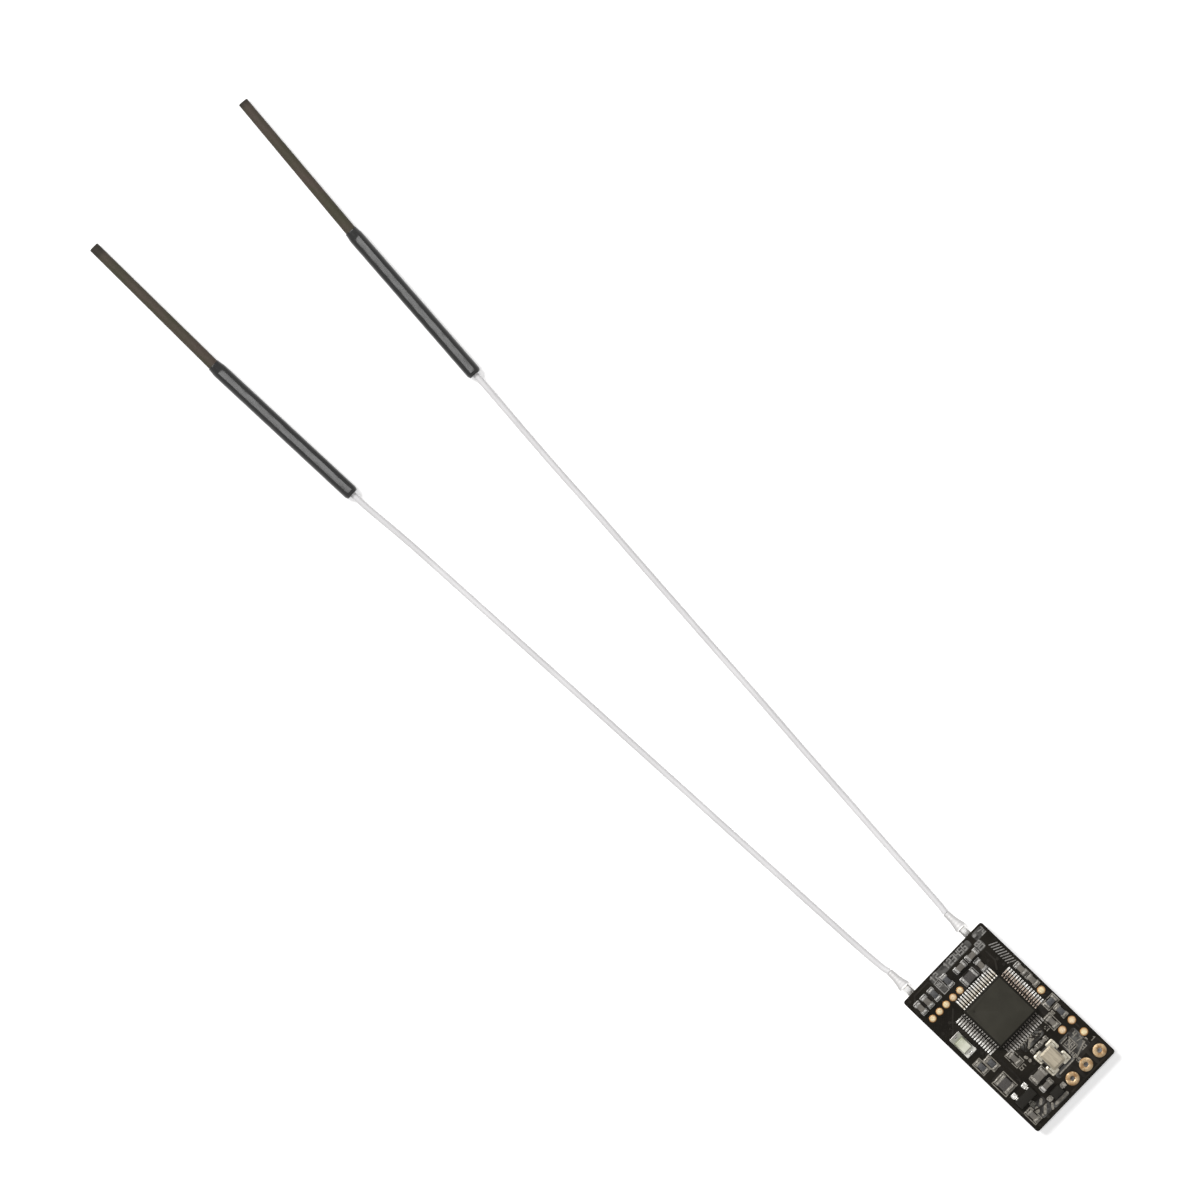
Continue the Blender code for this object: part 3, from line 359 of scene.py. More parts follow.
def set_down(x, y, z, spots, turns):
    """Turned about Z and moved to each spot: (x cos - y sin, x sin + y cos, z) + spot."""
    turns = np.broadcast_to(turns, len(spots))[:, None, None]
    cos, sin = np.cos(turns), np.sin(turns)
    points = np.stack([x * cos - y * sin, x * sin + y * cos, z + 0 * x * cos], axis=-1)
    return points + spots[:, None, None]


def placed(points, spots, turns=0.0):
    """Copies of a grid, turned and moved to their spots."""
    return set_down(*np.moveaxis(points, -1, 0), np.atleast_2d(spots), turns)


SQUARE = np.array([(1, 1), (-1, 1), (-1, -1), (1, -1)])


def corner_turns(steps):
    """Which corner each point of a rounded rectangle belongs to, and its angle about it."""
    quarter = np.repeat(np.arange(4), steps)
    return quarter, (quarter + np.tile(np.linspace(0, 1, steps), 4)) * math.pi / 2


def blocks(middles, sizes, profile, corner, turns=0.0, steps=3):
    """Rounded blocks. Each row of a block is a rectangle with quarter-circle corners: a corner's
    point is sign * (half side - radius) + radius * (cos, sin). The profile's rows give how far the
    rectangle is drawn in and how high it lies, and a row drawn in past the middle is a pole."""
    middles = np.atleast_2d(middles)
    sizes = np.broadcast_to(sizes, (len(middles), 2))
    inset, level = np.array(profile, float).T[:, None, :, None]
    half = np.maximum(sizes[:, None, None, :] / 2 - inset[..., None], 0.0)
    radius = np.broadcast_to(corner, len(middles))[:, None, None]
    radius = np.minimum(np.maximum(radius - inset, 0.25 * radius), half.min(-1))
    quarter, angle = corner_turns(steps)
    sign = SQUARE[quarter]
    x = sign[:, 0] * (half[..., 0] - radius) + radius * np.cos(angle)
    y = sign[:, 1] * (half[..., 1] - radius) + radius * np.sin(angle)
    return set_down(x, y, level, middles, turns)


POLE = 99.0  # an inset that is past the middle of any block


def rim(draft, level, edge):
    """A quarter-round edge: points (draft + edge (1 - cos t), level - edge (1 - sin t))."""
    t = np.linspace(0, math.pi / 2, 4)
    return np.stack([draft + edge * (1 - np.cos(t)), level - edge * (1 - np.sin(t))], axis=1)


def soft_box(height, edge, draft=0.0, base=0.0):
    """A block's profile with straight or drafted sides and round edges above and below."""
    lower = (rim(0.0, 0.0, edge) * (1, -1) + (0.0, base))[::-1]
    return np.vstack([[(POLE, base)], lower, rim(draft, height, edge), [(POLE, height)]])


def plate(thick, side, bevel):
    """A low slab's profile: flat underneath, an upright side, and a bevel up to the flat top."""
    return [(POLE, 0.0), (0.0, 0.0), (0.0, side), (bevel, thick), (POLE, thick)]


def mound(height, margin, steps=6):
    """A solder fillet's profile: it climbs a wall as height * v**2 while its foot draws in as
    margin * (1 - (1 - v)**2), the hollow curve that wet solder takes."""
    v = np.linspace(0, 1, steps)
    curve = np.stack([margin * (1 - (1 - v) ** 2), height * v ** 2], axis=1)
    return np.vstack([[(POLE, 0.0)], curve, [(POLE, height)]])


def turned(radius, level, steps=40):
    """A surface turned about Z: the point at angle a is (r cos a, r sin a, level)."""
    angle = np.arange(steps) * 2 * math.pi / steps
    radius, level = np.broadcast_arrays(np.asarray(radius, float), np.asarray(level, float))
    if radius.ndim == 1:
        radius, level = radius[:, None], level[:, None]
    return np.stack([radius * np.cos(angle), radius * np.sin(angle), level + 0 * angle], axis=-1)


def aimed(points, base, direction):
    """A turned surface laid so that its own Z runs from the base along the direction."""
    axis = direction / np.linalg.norm(direction)
    side = np.cross((0.0, 0.0, 1.0), axis)
    side /= np.linalg.norm(side)
    return base + points @ np.stack([side, np.cross(axis, side), axis])


print("shape kit ready")

# %% [markdown]
# The cables come first, because where they lie decides the rest. Each is a 0.81 mm micro coax of
# about 95 mm between its plug and the mouth of its sleeve, and it runs on inside the sleeve. It
# leaves the crimp 0.64 mm above the table and comes down onto it at once. A circle carried along
# one smooth curve makes it, and the curve passes through the same points as the solid's.

# %% The cables' routes
CABLE, SLEEVE, TIP_END, TIP_ROOT = 0.81, 2.0, 1.37, 1.52  # diameters
SLEEVE_LENGTH, TIP_LENGTH, TIP_LAP, END_GAP = 24.7, 21.9, 1.4, 0.1
REST_GAP, CABLE_STEP, LEAD_IN, SPAN_STEPS = 0.01, 1.0, 2.5, 40
MOUTH_LIFT = (SLEEVE - CABLE) / 2
PLUG_TAIL, CABLE_GAP, CABLE_HEIGHT = 5.2, 0.05, 0.64

LIFTS = (0.16, 0.02, *[0.0] * 9, 0.03, MOUTH_LIFT)  # how far each point is off the table
ROUTES = [np.column_stack([*route, LIFTS]) for route in (
    ((-17.0, -21.4, -29.3, -37.2, -45.0, -52.9, -60.7, -68.6, -76.5, -84.3, -92.2, -99.0, -108.9),
     (5.1, 5.49, 6.14, 6.83, 7.49, 8.22, 8.85, 9.54, 10.22, 10.91, 11.53, 12.15, 13.1)),
    ((-17.0, -21.7, -29.6, -37.5, -45.4, -53.3, -61.2, -69.1, -77.0, -84.9, -92.8, -100.0, -109.6),
     (-5.85, -6.13, -6.4, -6.65, -6.91, -7.15, -7.4, -7.65, -7.92, -8.18, -8.44, -8.7, -9.2)),
)]
HEADINGS = ((174.8, 173.8), (181.0, 179.3))  # of each sleeve and its tip, in degrees


def heading(degrees, drop=0.0):
    """The direction (cos a cos d, sin a cos d, -sin d)."""
    a = math.radians(degrees)
    return np.array([math.cos(a) * math.cos(drop), math.sin(a) * math.cos(drop), -math.sin(drop)])


def smooth_curve(points, step):
    """The curve through all points whose every span is a cubic with the slope of its neighbours'
    chord (Catmull-Rom), measured out into even steps."""
    points = np.vstack([2 * points[0] - points[1], points, 2 * points[-1] - points[-2]])
    before, here, there, after = (points[i:len(points) - 3 + i, None] for i in range(4))
    t = np.linspace(0, 1, SPAN_STEPS, endpoint=False)[None, :, None]
    fine = 0.5 * (2 * here + (there - before) * t + (2 * before - 5 * here + 4 * there - after)
                  * t ** 2 + (3 * here - before - 3 * there + after) * t ** 3)
    fine = np.vstack([fine.reshape(-1, 3), points[-2]])
    along = np.append(0, np.cumsum(np.linalg.norm(np.diff(fine, axis=0), axis=1)))
    even = np.linspace(0, along[-1], math.ceil(along[-1] / step) + 1)
    return np.stack([np.interp(even, along, fine[:, k]) for k in range(3)], axis=1)


def cable_line(y, route, angles):
    """Out of the crimp, through the route's points and up the middle of the sleeve."""
    lying = route + (0.0, 0.0, CABLE / 2 + REST_GAP)
    along = heading(angles[0])
    inner = SLEEVE_LENGTH - TIP_LAP - 2 * END_GAP
    inside = lying[-1] + along * np.array([-LEAD_IN, 0.0, inner / 2, inner])[:, None]
    start = [(SOCKET_X - PLUG_TAIL - CABLE_GAP, y, CABLE_HEIGHT)]
    return smooth_curve(np.vstack([start, lying[:-1], inside]), CABLE_STEP)


def tube(line, radius, steps=20):
    """A circle carried along a line: point + radius (side cos a + up sin a), closed at its ends."""
    along = np.gradient(line, axis=0)
    along /= np.linalg.norm(along, axis=1)[:, None]
    side = np.cross((0.0, 0.0, 1.0), along)
    side /= np.linalg.norm(side, axis=1)[:, None]
    up = np.cross(along, side)
    angle = (np.arange(steps) * 2 * math.pi / steps)[None, :, None]
    walls = line[:, None] + radius * (side[:, None] * np.cos(angle) + up[:, None] * np.sin(angle))
    ends = [np.repeat(line[i][None, None], steps, axis=1) for i in (0, -1)]
    return np.concatenate([ends[0], walls, ends[1]])


socket_spots = [stance(f"antenna_socket_{number}")[1] for number in (1, 2)]
SOCKET_X = float(np.mean([spot[0] for spot in socket_spots]))
SOCKET_Y = [float(spot[1]) for spot in socket_spots]
LINES = [cable_line(y, r, h) for y, r, h in zip(SOCKET_Y, ROUTES, HEADINGS)]

# %% [markdown]
# The jacket of micro coax is a smooth pale fluoropolymer over silvered braid. It is a little
# glossy, hardly varies in colour, and shows the braid under it as the faintest ribbing.

# %% Cable finish and tubes
BRAID_ALONG, BRAID_ROUND, BRAID_DEPTH = 14.0, 9.0, 0.006

coax = Paint("coax_grey")
grime = coax.noise(0.5, 3.0, (0.3, 1.0, 1.0))
coax_x, coax_y, coax_z = coax.axes()
strands = coax_x * BRAID_ALONG
braid = (strands + coax_y * BRAID_ROUND).sine() * (strands - coax_z * BRAID_ROUND).sine()
coax.dress(coax.mix(grime, (0.72, 0.708, 0.712), (0.8, 0.788, 0.792)),
           0.26 + coax.noise(2.0) * 0.12, braid, BRAID_DEPTH)

for number, line in enumerate(LINES, 1):
    name = f"coax_cable_{number}"
    shape = Shape().add(tube(line, CABLE / 2))
    shape.make(f"{name}_jacket", [coax], "coax_grey", name)

# %% [markdown]
# A sleeve antenna is a brass tube a quarter wave long, slipped over the cable and joined to its
# braid, with as long a piece of the bare core beyond it. Black shrink tube over the brass is thick
# and glossy. It grips unevenly, so its radius dips a little along and around it, and at the far
# end it shrinks down onto the slimmer, duller tube over the core.

# %% Finishes of the antennas
# The tips' far ends are painted darker: a painted shade of their open ends
TIP_END_SHADE = (-155.2, -154.2)  # x where the far ends of the tips darken

jacket = Paint("jacket_black", Specular_IOR_Level=0.44)
streak = jacket.noise(1.6, 4.0, (0.12, 1.0, 1.0))
dust = jacket.noise(9.0, 3.0)
jacket.dress(jacket.mix(streak * dust, (0.006, 0.006, 0.0055), (0.016, 0.015, 0.014)),
             0.11 + streak * 0.05 + dust * 0.02, streak, 0.005)

tip = Paint("tip_olive", Specular_IOR_Level=0.2)
# Painted shade: the last millimetre or so of each tip is darkened
painted_end_shade = 1 - tip.step(0, *TIP_END_SHADE)
handled = tip.mix(tip.noise(0.6, 3.0, (0.3, 1.0, 1.0)), (0.058, 0.054, 0.034), (0.078, 0.06, 0.048))
tip.dress(tip.mix(painted_end_shade * 0.7, handled, (0.022, 0.02, 0.016)),
          0.55 + tip.noise(4.0) * 0.15, tip.noise(7.0, 3.0, (0.25, 1.0, 1.0)), 0.012)

brass = worn("brass_tube", (1.4, 4.0), (0.78, 0.57, 0.25), (0.5, 0.33, 0.14), (0.28, 0.2),
             metallic=1.0)
core = worn("core_white", (1.5,), (0.82, 0.8, 0.76), (0.7, 0.68, 0.63), (0.4, 0.0))
print("antenna finishes ready")

# %% Sleeves, tips and what is in them
BORE, SHOULDER, LIP = 0.8, 1.3, 0.86
WAVE = 0.014  # how far the shrink tube dips
MOUTH_ROUND, MOUTH_RUN = 0.16, 0.5
TIP_BORE, TIP_CUT, TIP_DIP = 0.3, 0.06, 0.012


def jacket_wall(seed):
    """Radius over length s and angle a: 1 - wave (2 + sin(s p + a) + sin(s q - 2 a)) / 4, less
    round (1 - s / run)**2 at the mouth, then the shoulder's smooth step down to the lip, the cut end
    and the bore."""
    shoulder_at = SLEEVE_LENGTH - SHOULDER
    s = np.concatenate([np.linspace(0.0, MOUTH_RUN, 8), np.linspace(MOUTH_RUN, shoulder_at, 79)[1:],
                        np.linspace(shoulder_at, SLEEVE_LENGTH, 14)[1:]])[:, None]
    a = np.arange(40) * 2 * math.pi / 40
    ripple = 2 + np.sin(s * (1.1 + 0.2 * seed) + a) + np.sin(s * 2.7 - 2 * a + seed)
    down = np.clip((s - shoulder_at) / SHOULDER, 0, 1)
    outer = SLEEVE / 2 - WAVE * ripple / 4 * (1 - down)
    outer = outer - (SLEEVE / 2 - LIP) * down ** 2 * (3 - 2 * down)
    outer = outer - MOUTH_ROUND * np.clip(1 - s / MOUTH_RUN, 0, 1) ** 2
    inner = np.full((1, 40), BORE)
    radius = np.concatenate([inner, outer, inner, inner])
    levels = np.concatenate([[[0.0]], s, [[SLEEVE_LENGTH], [0.0]]])
    return turned(radius, np.broadcast_to(levels, radius.shape))


def tip_wall():
    """A straight taper from the root to the end that dips as abs(sin(s p) sin(s q)), a rounded
    cut, and the bore back again."""
    start, end = -TIP_LAP / 2, TIP_LENGTH + TIP_LAP / 2
    s = np.linspace(start, end - TIP_CUT, 60)
    outer = TIP_ROOT / 2 + (TIP_END - TIP_ROOT) / 2 * (s - start) / (end - start)
    dips = abs(TIP_DIP * np.sin(s * 2.1) * np.sin(s * 0.7))
    radius = np.concatenate([[TIP_BORE], outer - dips, [TIP_END / 2 - TIP_CUT, TIP_BORE, TIP_BORE]])
    return turned(radius, np.concatenate([[start], s, [end, end, start]]), 32)


for number, (route, angles) in enumerate(zip(ROUTES, HEADINGS), 1):
    mouth = route[-1] + (0.0, 0.0, CABLE / 2 + REST_GAP)
    along = heading(angles[0])
    lap = mouth + along * (SLEEVE_LENGTH - TIP_LAP / 2)
    drop = math.asin((SLEEVE - TIP_END) / 2 / (TIP_LENGTH + TIP_LAP / 2))
    sleeve = Shape().add(aimed(jacket_wall(number), mouth, along))
    tail = Shape().add(aimed(tip_wall(), lap, heading(angles[1], drop)))
    sleeve.make(f"shrink_sleeve_{number}", [jacket], "jacket_black", f"sleeve_jacket_{number}")
    tail.make(f"tip_cover_{number}", [tip], "tip_olive", f"tip_tube_{number}")
    repaint(f"brass_sleeve_{number}", brass)
    repaint(f"radiator_wire_{number}", core)

# %% [markdown]
# Only the neck and the crimp of the plugs show past the board's edge. The crimp is folded from
# sheet round the cable, with flared wings at its inner end, and runs out slimmer over the jacket.
# It is drawn as rings of half width w and half height h whose points are (w cos a, h sin a), with
# shallow ribs pressed round it. The cap snaps over the socket under the board.

# %% Plugs
DULL_WINGS = (-13.6, -13.2)  # x up to which the crimps are dull

crimped = Paint("plug_metal", 1.0)
scuff = crimped.noise(3.0, 4.0)
wings = 1 - crimped.step(0, *DULL_WINGS)
bright = crimped.mix(scuff, (0.95, 0.94, 0.92), (0.84, 0.83, 0.82))
crimped.dress(crimped.mix(wings, bright, (0.52, 0.512, 0.507)), 0.18 + scuff * 0.1 + wings * 0.4)

RIB, RIB_PITCH = 0.01, 0.42
FLARE_START, CRIMP_HALF = 2.42, 0.455
FLARE_WIDE, FLARE_TALL, FLARE_DROP = 0.385, 0.065, 0.03  # how much more the flare's inner end has


def crimp_wall():
    """The neck's rings, then the flare's, whose width and height settle on the cable's as
    exp(-s / length), less ribs of depth (1 - cos(2 pi s / pitch)) / 2."""
    s = np.linspace(0.0, 1.0, 48) ** 1.2 * (PLUG_TAIL - FLARE_START)
    ribs = RIB * (1 - np.cos(s * 2 * math.pi / RIB_PITCH)) / 2
    width = CRIMP_HALF + FLARE_WIDE * np.exp(-(s / 1.15) ** 1.5) - ribs
    tall = CRIMP_HALF + FLARE_TALL * np.exp(-s / 1.2) - ribs
    level = CABLE_HEIGHT - FLARE_DROP * np.exp(-s / 0.6)
    flared = np.stack([width, tall, s + FLARE_START, level], axis=1)
    neck = [(0.0, 0.0, 0.8, 0.45), (0.6, 0.34, 0.8, 0.45), (0.62, 0.35, 1.4, 0.48),
            (0.6, 0.38, 2.2, 0.55), (0.62, 0.4, 2.34, 0.58), (0.8, 0.48, 2.38, 0.6)]
    end = [(0.44, 0.44, PLUG_TAIL, CABLE_HEIGHT), (0.0, 0.0, PLUG_TAIL, CABLE_HEIGHT)]
    w, h, run, level = np.vstack([neck, flared, end]).T[..., None]
    angle = np.arange(32) * 2 * math.pi / 32
    return np.stack([-run + 0 * angle, w * np.cos(angle), level + h * np.sin(angle)], axis=-1)


def cap_wall():
    """A shallow cup, seen upside down: floor, rounded edge, wall and the open rim."""
    rows = np.array([(0.0, 0.0), (0.96, 0.0), (1.0, 0.015), (1.03, 0.05), (1.04, 0.1), (1.04, 0.82),
                     (1.02, 0.87), (0.99, 0.88), (0.78, 0.88), (0.78, 0.34), (0.0, 0.34)])
    return turned(rows[:, 0], rows[:, 1])


for number, y in enumerate(SOCKET_Y, 1):
    shape = Shape().add(placed(cap_wall(), (SOCKET_X, y, REST_GAP)))
    shape.add(placed(crimp_wall(), (SOCKET_X, y, 0.0)))
    shape.make(f"snap_plug_{number}", [crimped], "plug_metal",
                            f"antenna_plug_{number}")

# %% [markdown]
# The board is glass cloth and resin under a black solder mask. Its faces are smooth and a little
# glossy with the weave showing through as a faint grid, and its sawn edges are dull and browner,
# with the glass layers as lines. One material does both, by how high a point lies. Ink and tin are
# painted lighter and greyer at the cables' end, where the sun comes from, and darker and browner
# over the rest: painted light and shade. The four rows of leads are painted as light and shade:
# lighter on the side towards the sun, a little darker and rosy on the next, dark on the third, in
# the chip's shadow, and darker at the fourth's roots by the body. A few joints are painted dark as
# shade and one cap's tin is painted brighter as a highlight, each a patch that is given in
# millimetres of the board.

# %% Board finishes
BOARD_LOW, BOARD_TOP, EDGE_BAND = 1.25, 2.05, 0.02
WEAVE_PITCH, LAYERS_PER_MM = 0.42, 19.0
LIGHT_TO_SHADE_X = (-8.0, -1.0)  # x over which ink and tin turn from lighter to darker and browner: painted light and shade
# One cap's tin is painted brighter, a painted highlight, and the regulator's +X joint near black, a
# painted shade
CAP_GLINT_PATCH, REGULATOR_LEAD_SHADE = (8.25, 9.3, -3.35, -2.35), (8.5, 9.9, -5.6, -4.2)
# Joints painted darker: painted shade
SHADED_JOINTS = (0.85, 3.2, -3.0, 4.5), (-5.1, -3.9, -7.0, -5.0)
# Where the lead rows are painted as light and shade: lighter towards the sun, a little darker and
# rosy on +Y, dark in the chip's shadow and at the -Y row's roots
LIT_LEAD_ROW, ROSY_ROW, SHADED_LEAD_ROW = (-6.0, -5.8), (3.95, 4.1), (0.85, 1.1)
SHADED_LEAD_ROOTS = (-6.0, 1.2, -3.8, -2.45)
DISC_RIM_SHADE = (2.082, 2.099)  # heights between which a disc's low rim, painted dark orange as a painted shade, turns to plain gold

mask = Paint("board_black", Specular_IOR_Level=0.05)
mask_x, mask_y, mask_z = mask.axes()
turns_per_mm = 2 * math.pi / WEAVE_PITCH
weave = (mask_x * turns_per_mm).sine() * (mask_y * turns_per_mm).sine()
stain = mask.noise(0.35, 4.0)
face_colour = mask.mix(stain, (0.008, 0.0066, 0.0045), (0.015, 0.0126, 0.009))
layers = abs((mask_z * LAYERS_PER_MM).sine())
edge_colour = mask.mix(layers * mask.noise(3.0), (0.014, 0.011, 0.007), (0.05, 0.037, 0.02))
sawn = mask.band(2, BOARD_LOW, BOARD_TOP, EDGE_BAND)
mask.dress(mask.mix(sawn, face_colour, edge_colour),
           0.27 + stain * 0.08 + sawn * 0.4, weave * 0.35 + mask.noise(6.0, 3.0) * 0.65, 0.004)

covered = worn("masked_copper", (0.8, 4.0), (0.015, 0.013, 0.0105), (0.028, 0.0245, 0.02),
               (0.26, 0.1), Specular_IOR_Level=0.05)
thin_mask = worn("thin_mask", (1.3, 6.0), (0.024, 0.022, 0.02), (0.12, 0.116, 0.108),
                 (0.4, 0.2), Specular_IOR_Level=0.05)


def lit_then_shaded(paint, cloud, clean, brown):
    """A cloud's two lighter colours at the cables' end of the board, towards the sun, and two darker,
    browner ones beyond: painted light and shade.
    """
    return paint.mix(paint.step(0, *LIGHT_TO_SHADE_X), paint.mix(cloud, *clean), paint.mix(cloud, *brown))


print_ink = Paint("print_grey", Specular_IOR_Level=0.1)
speckle = print_ink.noise(7.0, 4.0)
lit_ink = (0.345, 0.334, 0.315), (0.164, 0.157, 0.145)
shaded_brown_ink = (0.325, 0.3, 0.258), (0.152, 0.139, 0.116)
print_ink.dress(lit_then_shaded(print_ink, speckle, lit_ink, shaded_brown_ink), 0.75, speckle, 0.004)

tin = Paint("tin_plate", 1.0)
matt = tin.noise(5.0, 4.0)
lit_tin = (0.265, 0.258, 0.245), (0.138, 0.134, 0.125)
shaded_brown_tin = (0.214, 0.2, 0.177), (0.112, 0.104, 0.09)
all_tin = lit_then_shaded(tin, matt, lit_tin, shaded_brown_tin)
# One cap's tin is painted brighter within a patch: a painted highlight
tin.dress(tin.mix(tin.patch(*CAP_GLINT_PATCH), all_tin, (0.31, 0.298, 0.28)),
          0.38 + matt * 0.2, tin.noise(12.0, 3.0), 0.006)

solder = Paint("solder", 1.0)
frost = solder.noise(3.5, 4.0)
clean = solder.mix(frost, (0.58, 0.57, 0.54), (0.25, 0.24, 0.225))
# Painted shade: joints darker within two patches, and the regulator's +X lead near black
unlit = solder.patch(*SHADED_JOINTS[0]) + solder.patch(*SHADED_JOINTS[1])
shaded_solder = solder.mix(unlit, clean, (0.2, 0.19, 0.176))
solder.dress(solder.mix(solder.patch(*REGULATOR_LEAD_SHADE), shaded_solder, (0.05, 0.047, 0.041)),
             0.16 + frost * 0.24, solder.noise(8.0, 3.0), 0.01)

leads_tin = Paint("lead_metal", 1.0)
rub = leads_tin.noise(4.0, 4.0)
fresh_tin = leads_tin.mix(rub, (0.36, 0.345, 0.32), (0.2, 0.19, 0.173))
rosy_shaded_tin = leads_tin.mix(rub, (0.31, 0.255, 0.21), (0.175, 0.138, 0.11))
lead_shade_tin = leads_tin.mix(rub, (0.088, 0.08, 0.073), (0.043, 0.039, 0.035))
# Painted light and shade: the row towards the sun lighter, the +Y row a little darker and rosy, the
# row in the chip's shadow and the -Y row's roots darker
rows = leads_tin.mix(leads_tin.step(0, *LIT_LEAD_ROW), (0.385, 0.358, 0.312), fresh_tin)
rows = leads_tin.mix(leads_tin.step(1, *ROSY_ROW), rows, rosy_shaded_tin)
rows = leads_tin.mix(leads_tin.patch(*SHADED_LEAD_ROOTS) * 0.5, rows, lead_shade_tin)
leads_tin.dress(leads_tin.mix(leads_tin.step(0, *SHADED_LEAD_ROW), rows, lead_shade_tin), 0.32 + rub * 0.2)

gold = Paint("pad_gold", 1.0)
flash = gold.noise(2.2, 4.0)
tinge = gold.mix(gold.noise(0.4), (0.44, 0.388, 0.236), (0.473, 0.353, 0.258))
flat_gold = gold.mix(flash, tinge, (0.37, 0.295, 0.195))
# The dome's low rim is painted dark orange, a painted shade, and its top plain gold
gold.dress(gold.mix(gold.step(2, *DISC_RIM_SHADE), (0.2, 0.1, 0.035), flat_gold),
           0.3 + flash * 0.16, gold.noise(9.0, 3.0), 0.008)

ring_gold = worn("ring_gold", (1.8, 4.0), (0.33, 0.245, 0.148), (0.17, 0.099, 0.046), (0.26, 0.2),
                 metallic=1.0)
repaint("circuit_board", mask)
print("board finishes ready")

# %% [markdown]
# Marks, traces and lands are all the same thing: a low slab between two points, with round ends,
# which is also how a photoplotter draws them with its round aperture. slabs() makes as many as it
# is given in one go. Plain digits are lines on a cell of two by four units. Nothing here is a
# word: the marks are pin numbers, a plus sign, ticks and part outlines.

# %% Slabs
HAIR, HAIR_CYCLE = 0.0004, 7


def slabs(lines, widths, seat, thick):
    """Slabs with round ends from (x, y) to (x, y): each is a block as long as its line plus its
    width, turned to the line, with corners of half its width. Each lies a hair higher than the one
    before, seven times over, so that slabs that meet stay closed shells with no face in common."""
    lines = np.asarray(lines, float).reshape(-1, 4)
    widths = np.broadcast_to(widths, len(lines)).astype(float)
    reach = lines[:, 2:] - lines[:, :2]
    levels = seat + HAIR * (np.arange(len(lines)) % HAIR_CYCLE)
    middles = np.column_stack([(lines[:, :2] + lines[:, 2:]) / 2, levels])
    sizes = np.column_stack([np.linalg.norm(reach, axis=1) + widths, widths])
    bend = thick * 0.4
    rows = plate(thick, thick - bend, bend)
    return blocks(middles, sizes, rows, widths / 2, np.arctan2(reach[:, 1], reach[:, 0]), 4)


def lines_through(points):
    """The pieces of a polyline, each as x, y, x, y."""
    points = np.asarray(points, float)
    return np.hstack([points[:-1], points[1:]])


# Each sign's strokes, as the columns and rows of their corners
DIGITS = {
    "0": ["00 20 24 04 00"], "1": ["03 14 10"], "2": ["04 24 22 02 00 20"],
    "3": ["04 24 20 00", "02 22"], "4": ["04 02 22", "24 20"], "5": ["24 04 02 22 20 00"],
    "6": ["24 04 00 20 22 02"], "7": ["04 24 10"], "8": ["00 20 24 04 00", "02 22"],
    "9": ["22 02 04 24 20 00"], "+": ["02 22", "11 13"],
}
DIGIT_STEP = 3.2


def digits(signs, x, y, tall, turn=0.0):
    """The strokes of a row of plain digits whose lower left corner is at (x, y)."""
    cell = tall / 4
    cos, sin = math.cos(turn) * cell, math.sin(turn) * cell
    found = []
    for i, sign in enumerate(signs):
        for stroke in DIGITS[sign]:
            points = np.array([(int(c), int(r)) for c, r in stroke.split()]) + (DIGIT_STEP * i, 0.0)
            found.append(lines_through(points @ np.array([(cos, sin), (-sin, cos)]) + (x, y)))
    return np.vstack(found)


def outline(x0, y0, x1, y1):
    return lines_through([(x0, y0), (x1, y0), (x1, y1), (x0, y1), (x0, y0)])


def drawn(*rows):
    """The strokes of many marks: a row of digits where its first entry is a text, or an outline."""
    return np.vstack([digits(*row) if isinstance(row[0], str) else outline(*row) for row in rows])


# %% Printed marks
STROKE, BOLD, HATCH, INK = 0.13, 0.17, 0.15, 0.012
PRINT_SEAT = BOARD_TOP + 0.001
RIGHT_UP = math.pi / 2

fine_marks = drawn(
    ("74", -11.75, 6.15, 0.7), (-10.95, -2.75, -9.05, -1.85), ("30", -10.75, -2.55, 0.45),
    ("+", 10.9, -5.5, 0.6), (0.95, 5.1, 2.2, 7.05), ("52", 2.5, 5.02, 0.38), (2.45, 3.7, 4.5, 4.95),
    ("24", 3.3, 3.05, 0.42), (2.2, -3.15, 4.4, -1.85), ("6", 4.65, -2.95, 0.8),
    (-0.05, -6.85, 2.0, -5.65), (0.55, -5.55, 2.6, -4.45), (3.45, -6.85, 5.95, -4.7),
    (9.15, -6.8, 11.25, -5.6), ("1846", 8.2, 2.95, 0.5), (6.3, 3.15, 8.0, 4.45),
    ("4", 6.5, 4.8, 0.7), ("7", 7.4, 4.8, 0.7), ("09", 6.6, 3.4, 0.85), ("3", 8.55, 4.5, 0.7),
    ("1", 8.75, 6.2, 0.6), ("5", 8.1, 5.3, 0.6))
bold_marks = drawn(("123456", -11.05, -0.1, 0.82, RIGHT_UP), ("12", -11.05, -2.6, 0.82, RIGHT_UP),
                   ("80", -10.7, 4.6, 0.8))
ticks_x = np.arange(-9.3, -5.9, 0.42)
hatch = np.stack(np.broadcast_arrays(ticks_x, 5.85, ticks_x + 0.5, 6.85), axis=1)
# From (x, y) to (x, y), and how wide
bands = np.array([
    (11.3, -0.95, 11.3, -2.9, 0.4), (8.95, 0.2, 8.95, 2.75, 0.2), (2.75, -1.3, 2.75, 0.9, 0.22),
    (3.3, -0.2, 3.3, 2.6, 0.2), (-11.5, 5.35, -11.5, 5.5, 0.42), (9.0, 3.3, 8.2, 5.6, 0.2),
    (6.55, 4.3, 8.0, 3.0, 0.2), (10.9, -3.3, 11.4, -3.7, 0.34), (9.5, -3.95, 9.8, -4.35, 0.4),
    (10.3, -4.0, 11.1, -4.85, 0.36), (9.9, -5.15, 10.25, -5.3, 0.5), (2.7, 1.3, 3.7, -0.25, 0.3),
    (4.9, -1.25, 5.0, -1.3, 0.4), (4.2, -1.4, 4.4, -1.3, 0.4),
])
marks = Shape()
for lines, widths in ((fine_marks, STROKE), (hatch, HATCH), (bold_marks, BOLD),
                      (bands[:, :4], bands[:, 4])):
    marks.add(slabs(lines, widths, PRINT_SEAT, INK))
marks.make("printed_marks", [print_ink], "print_grey")
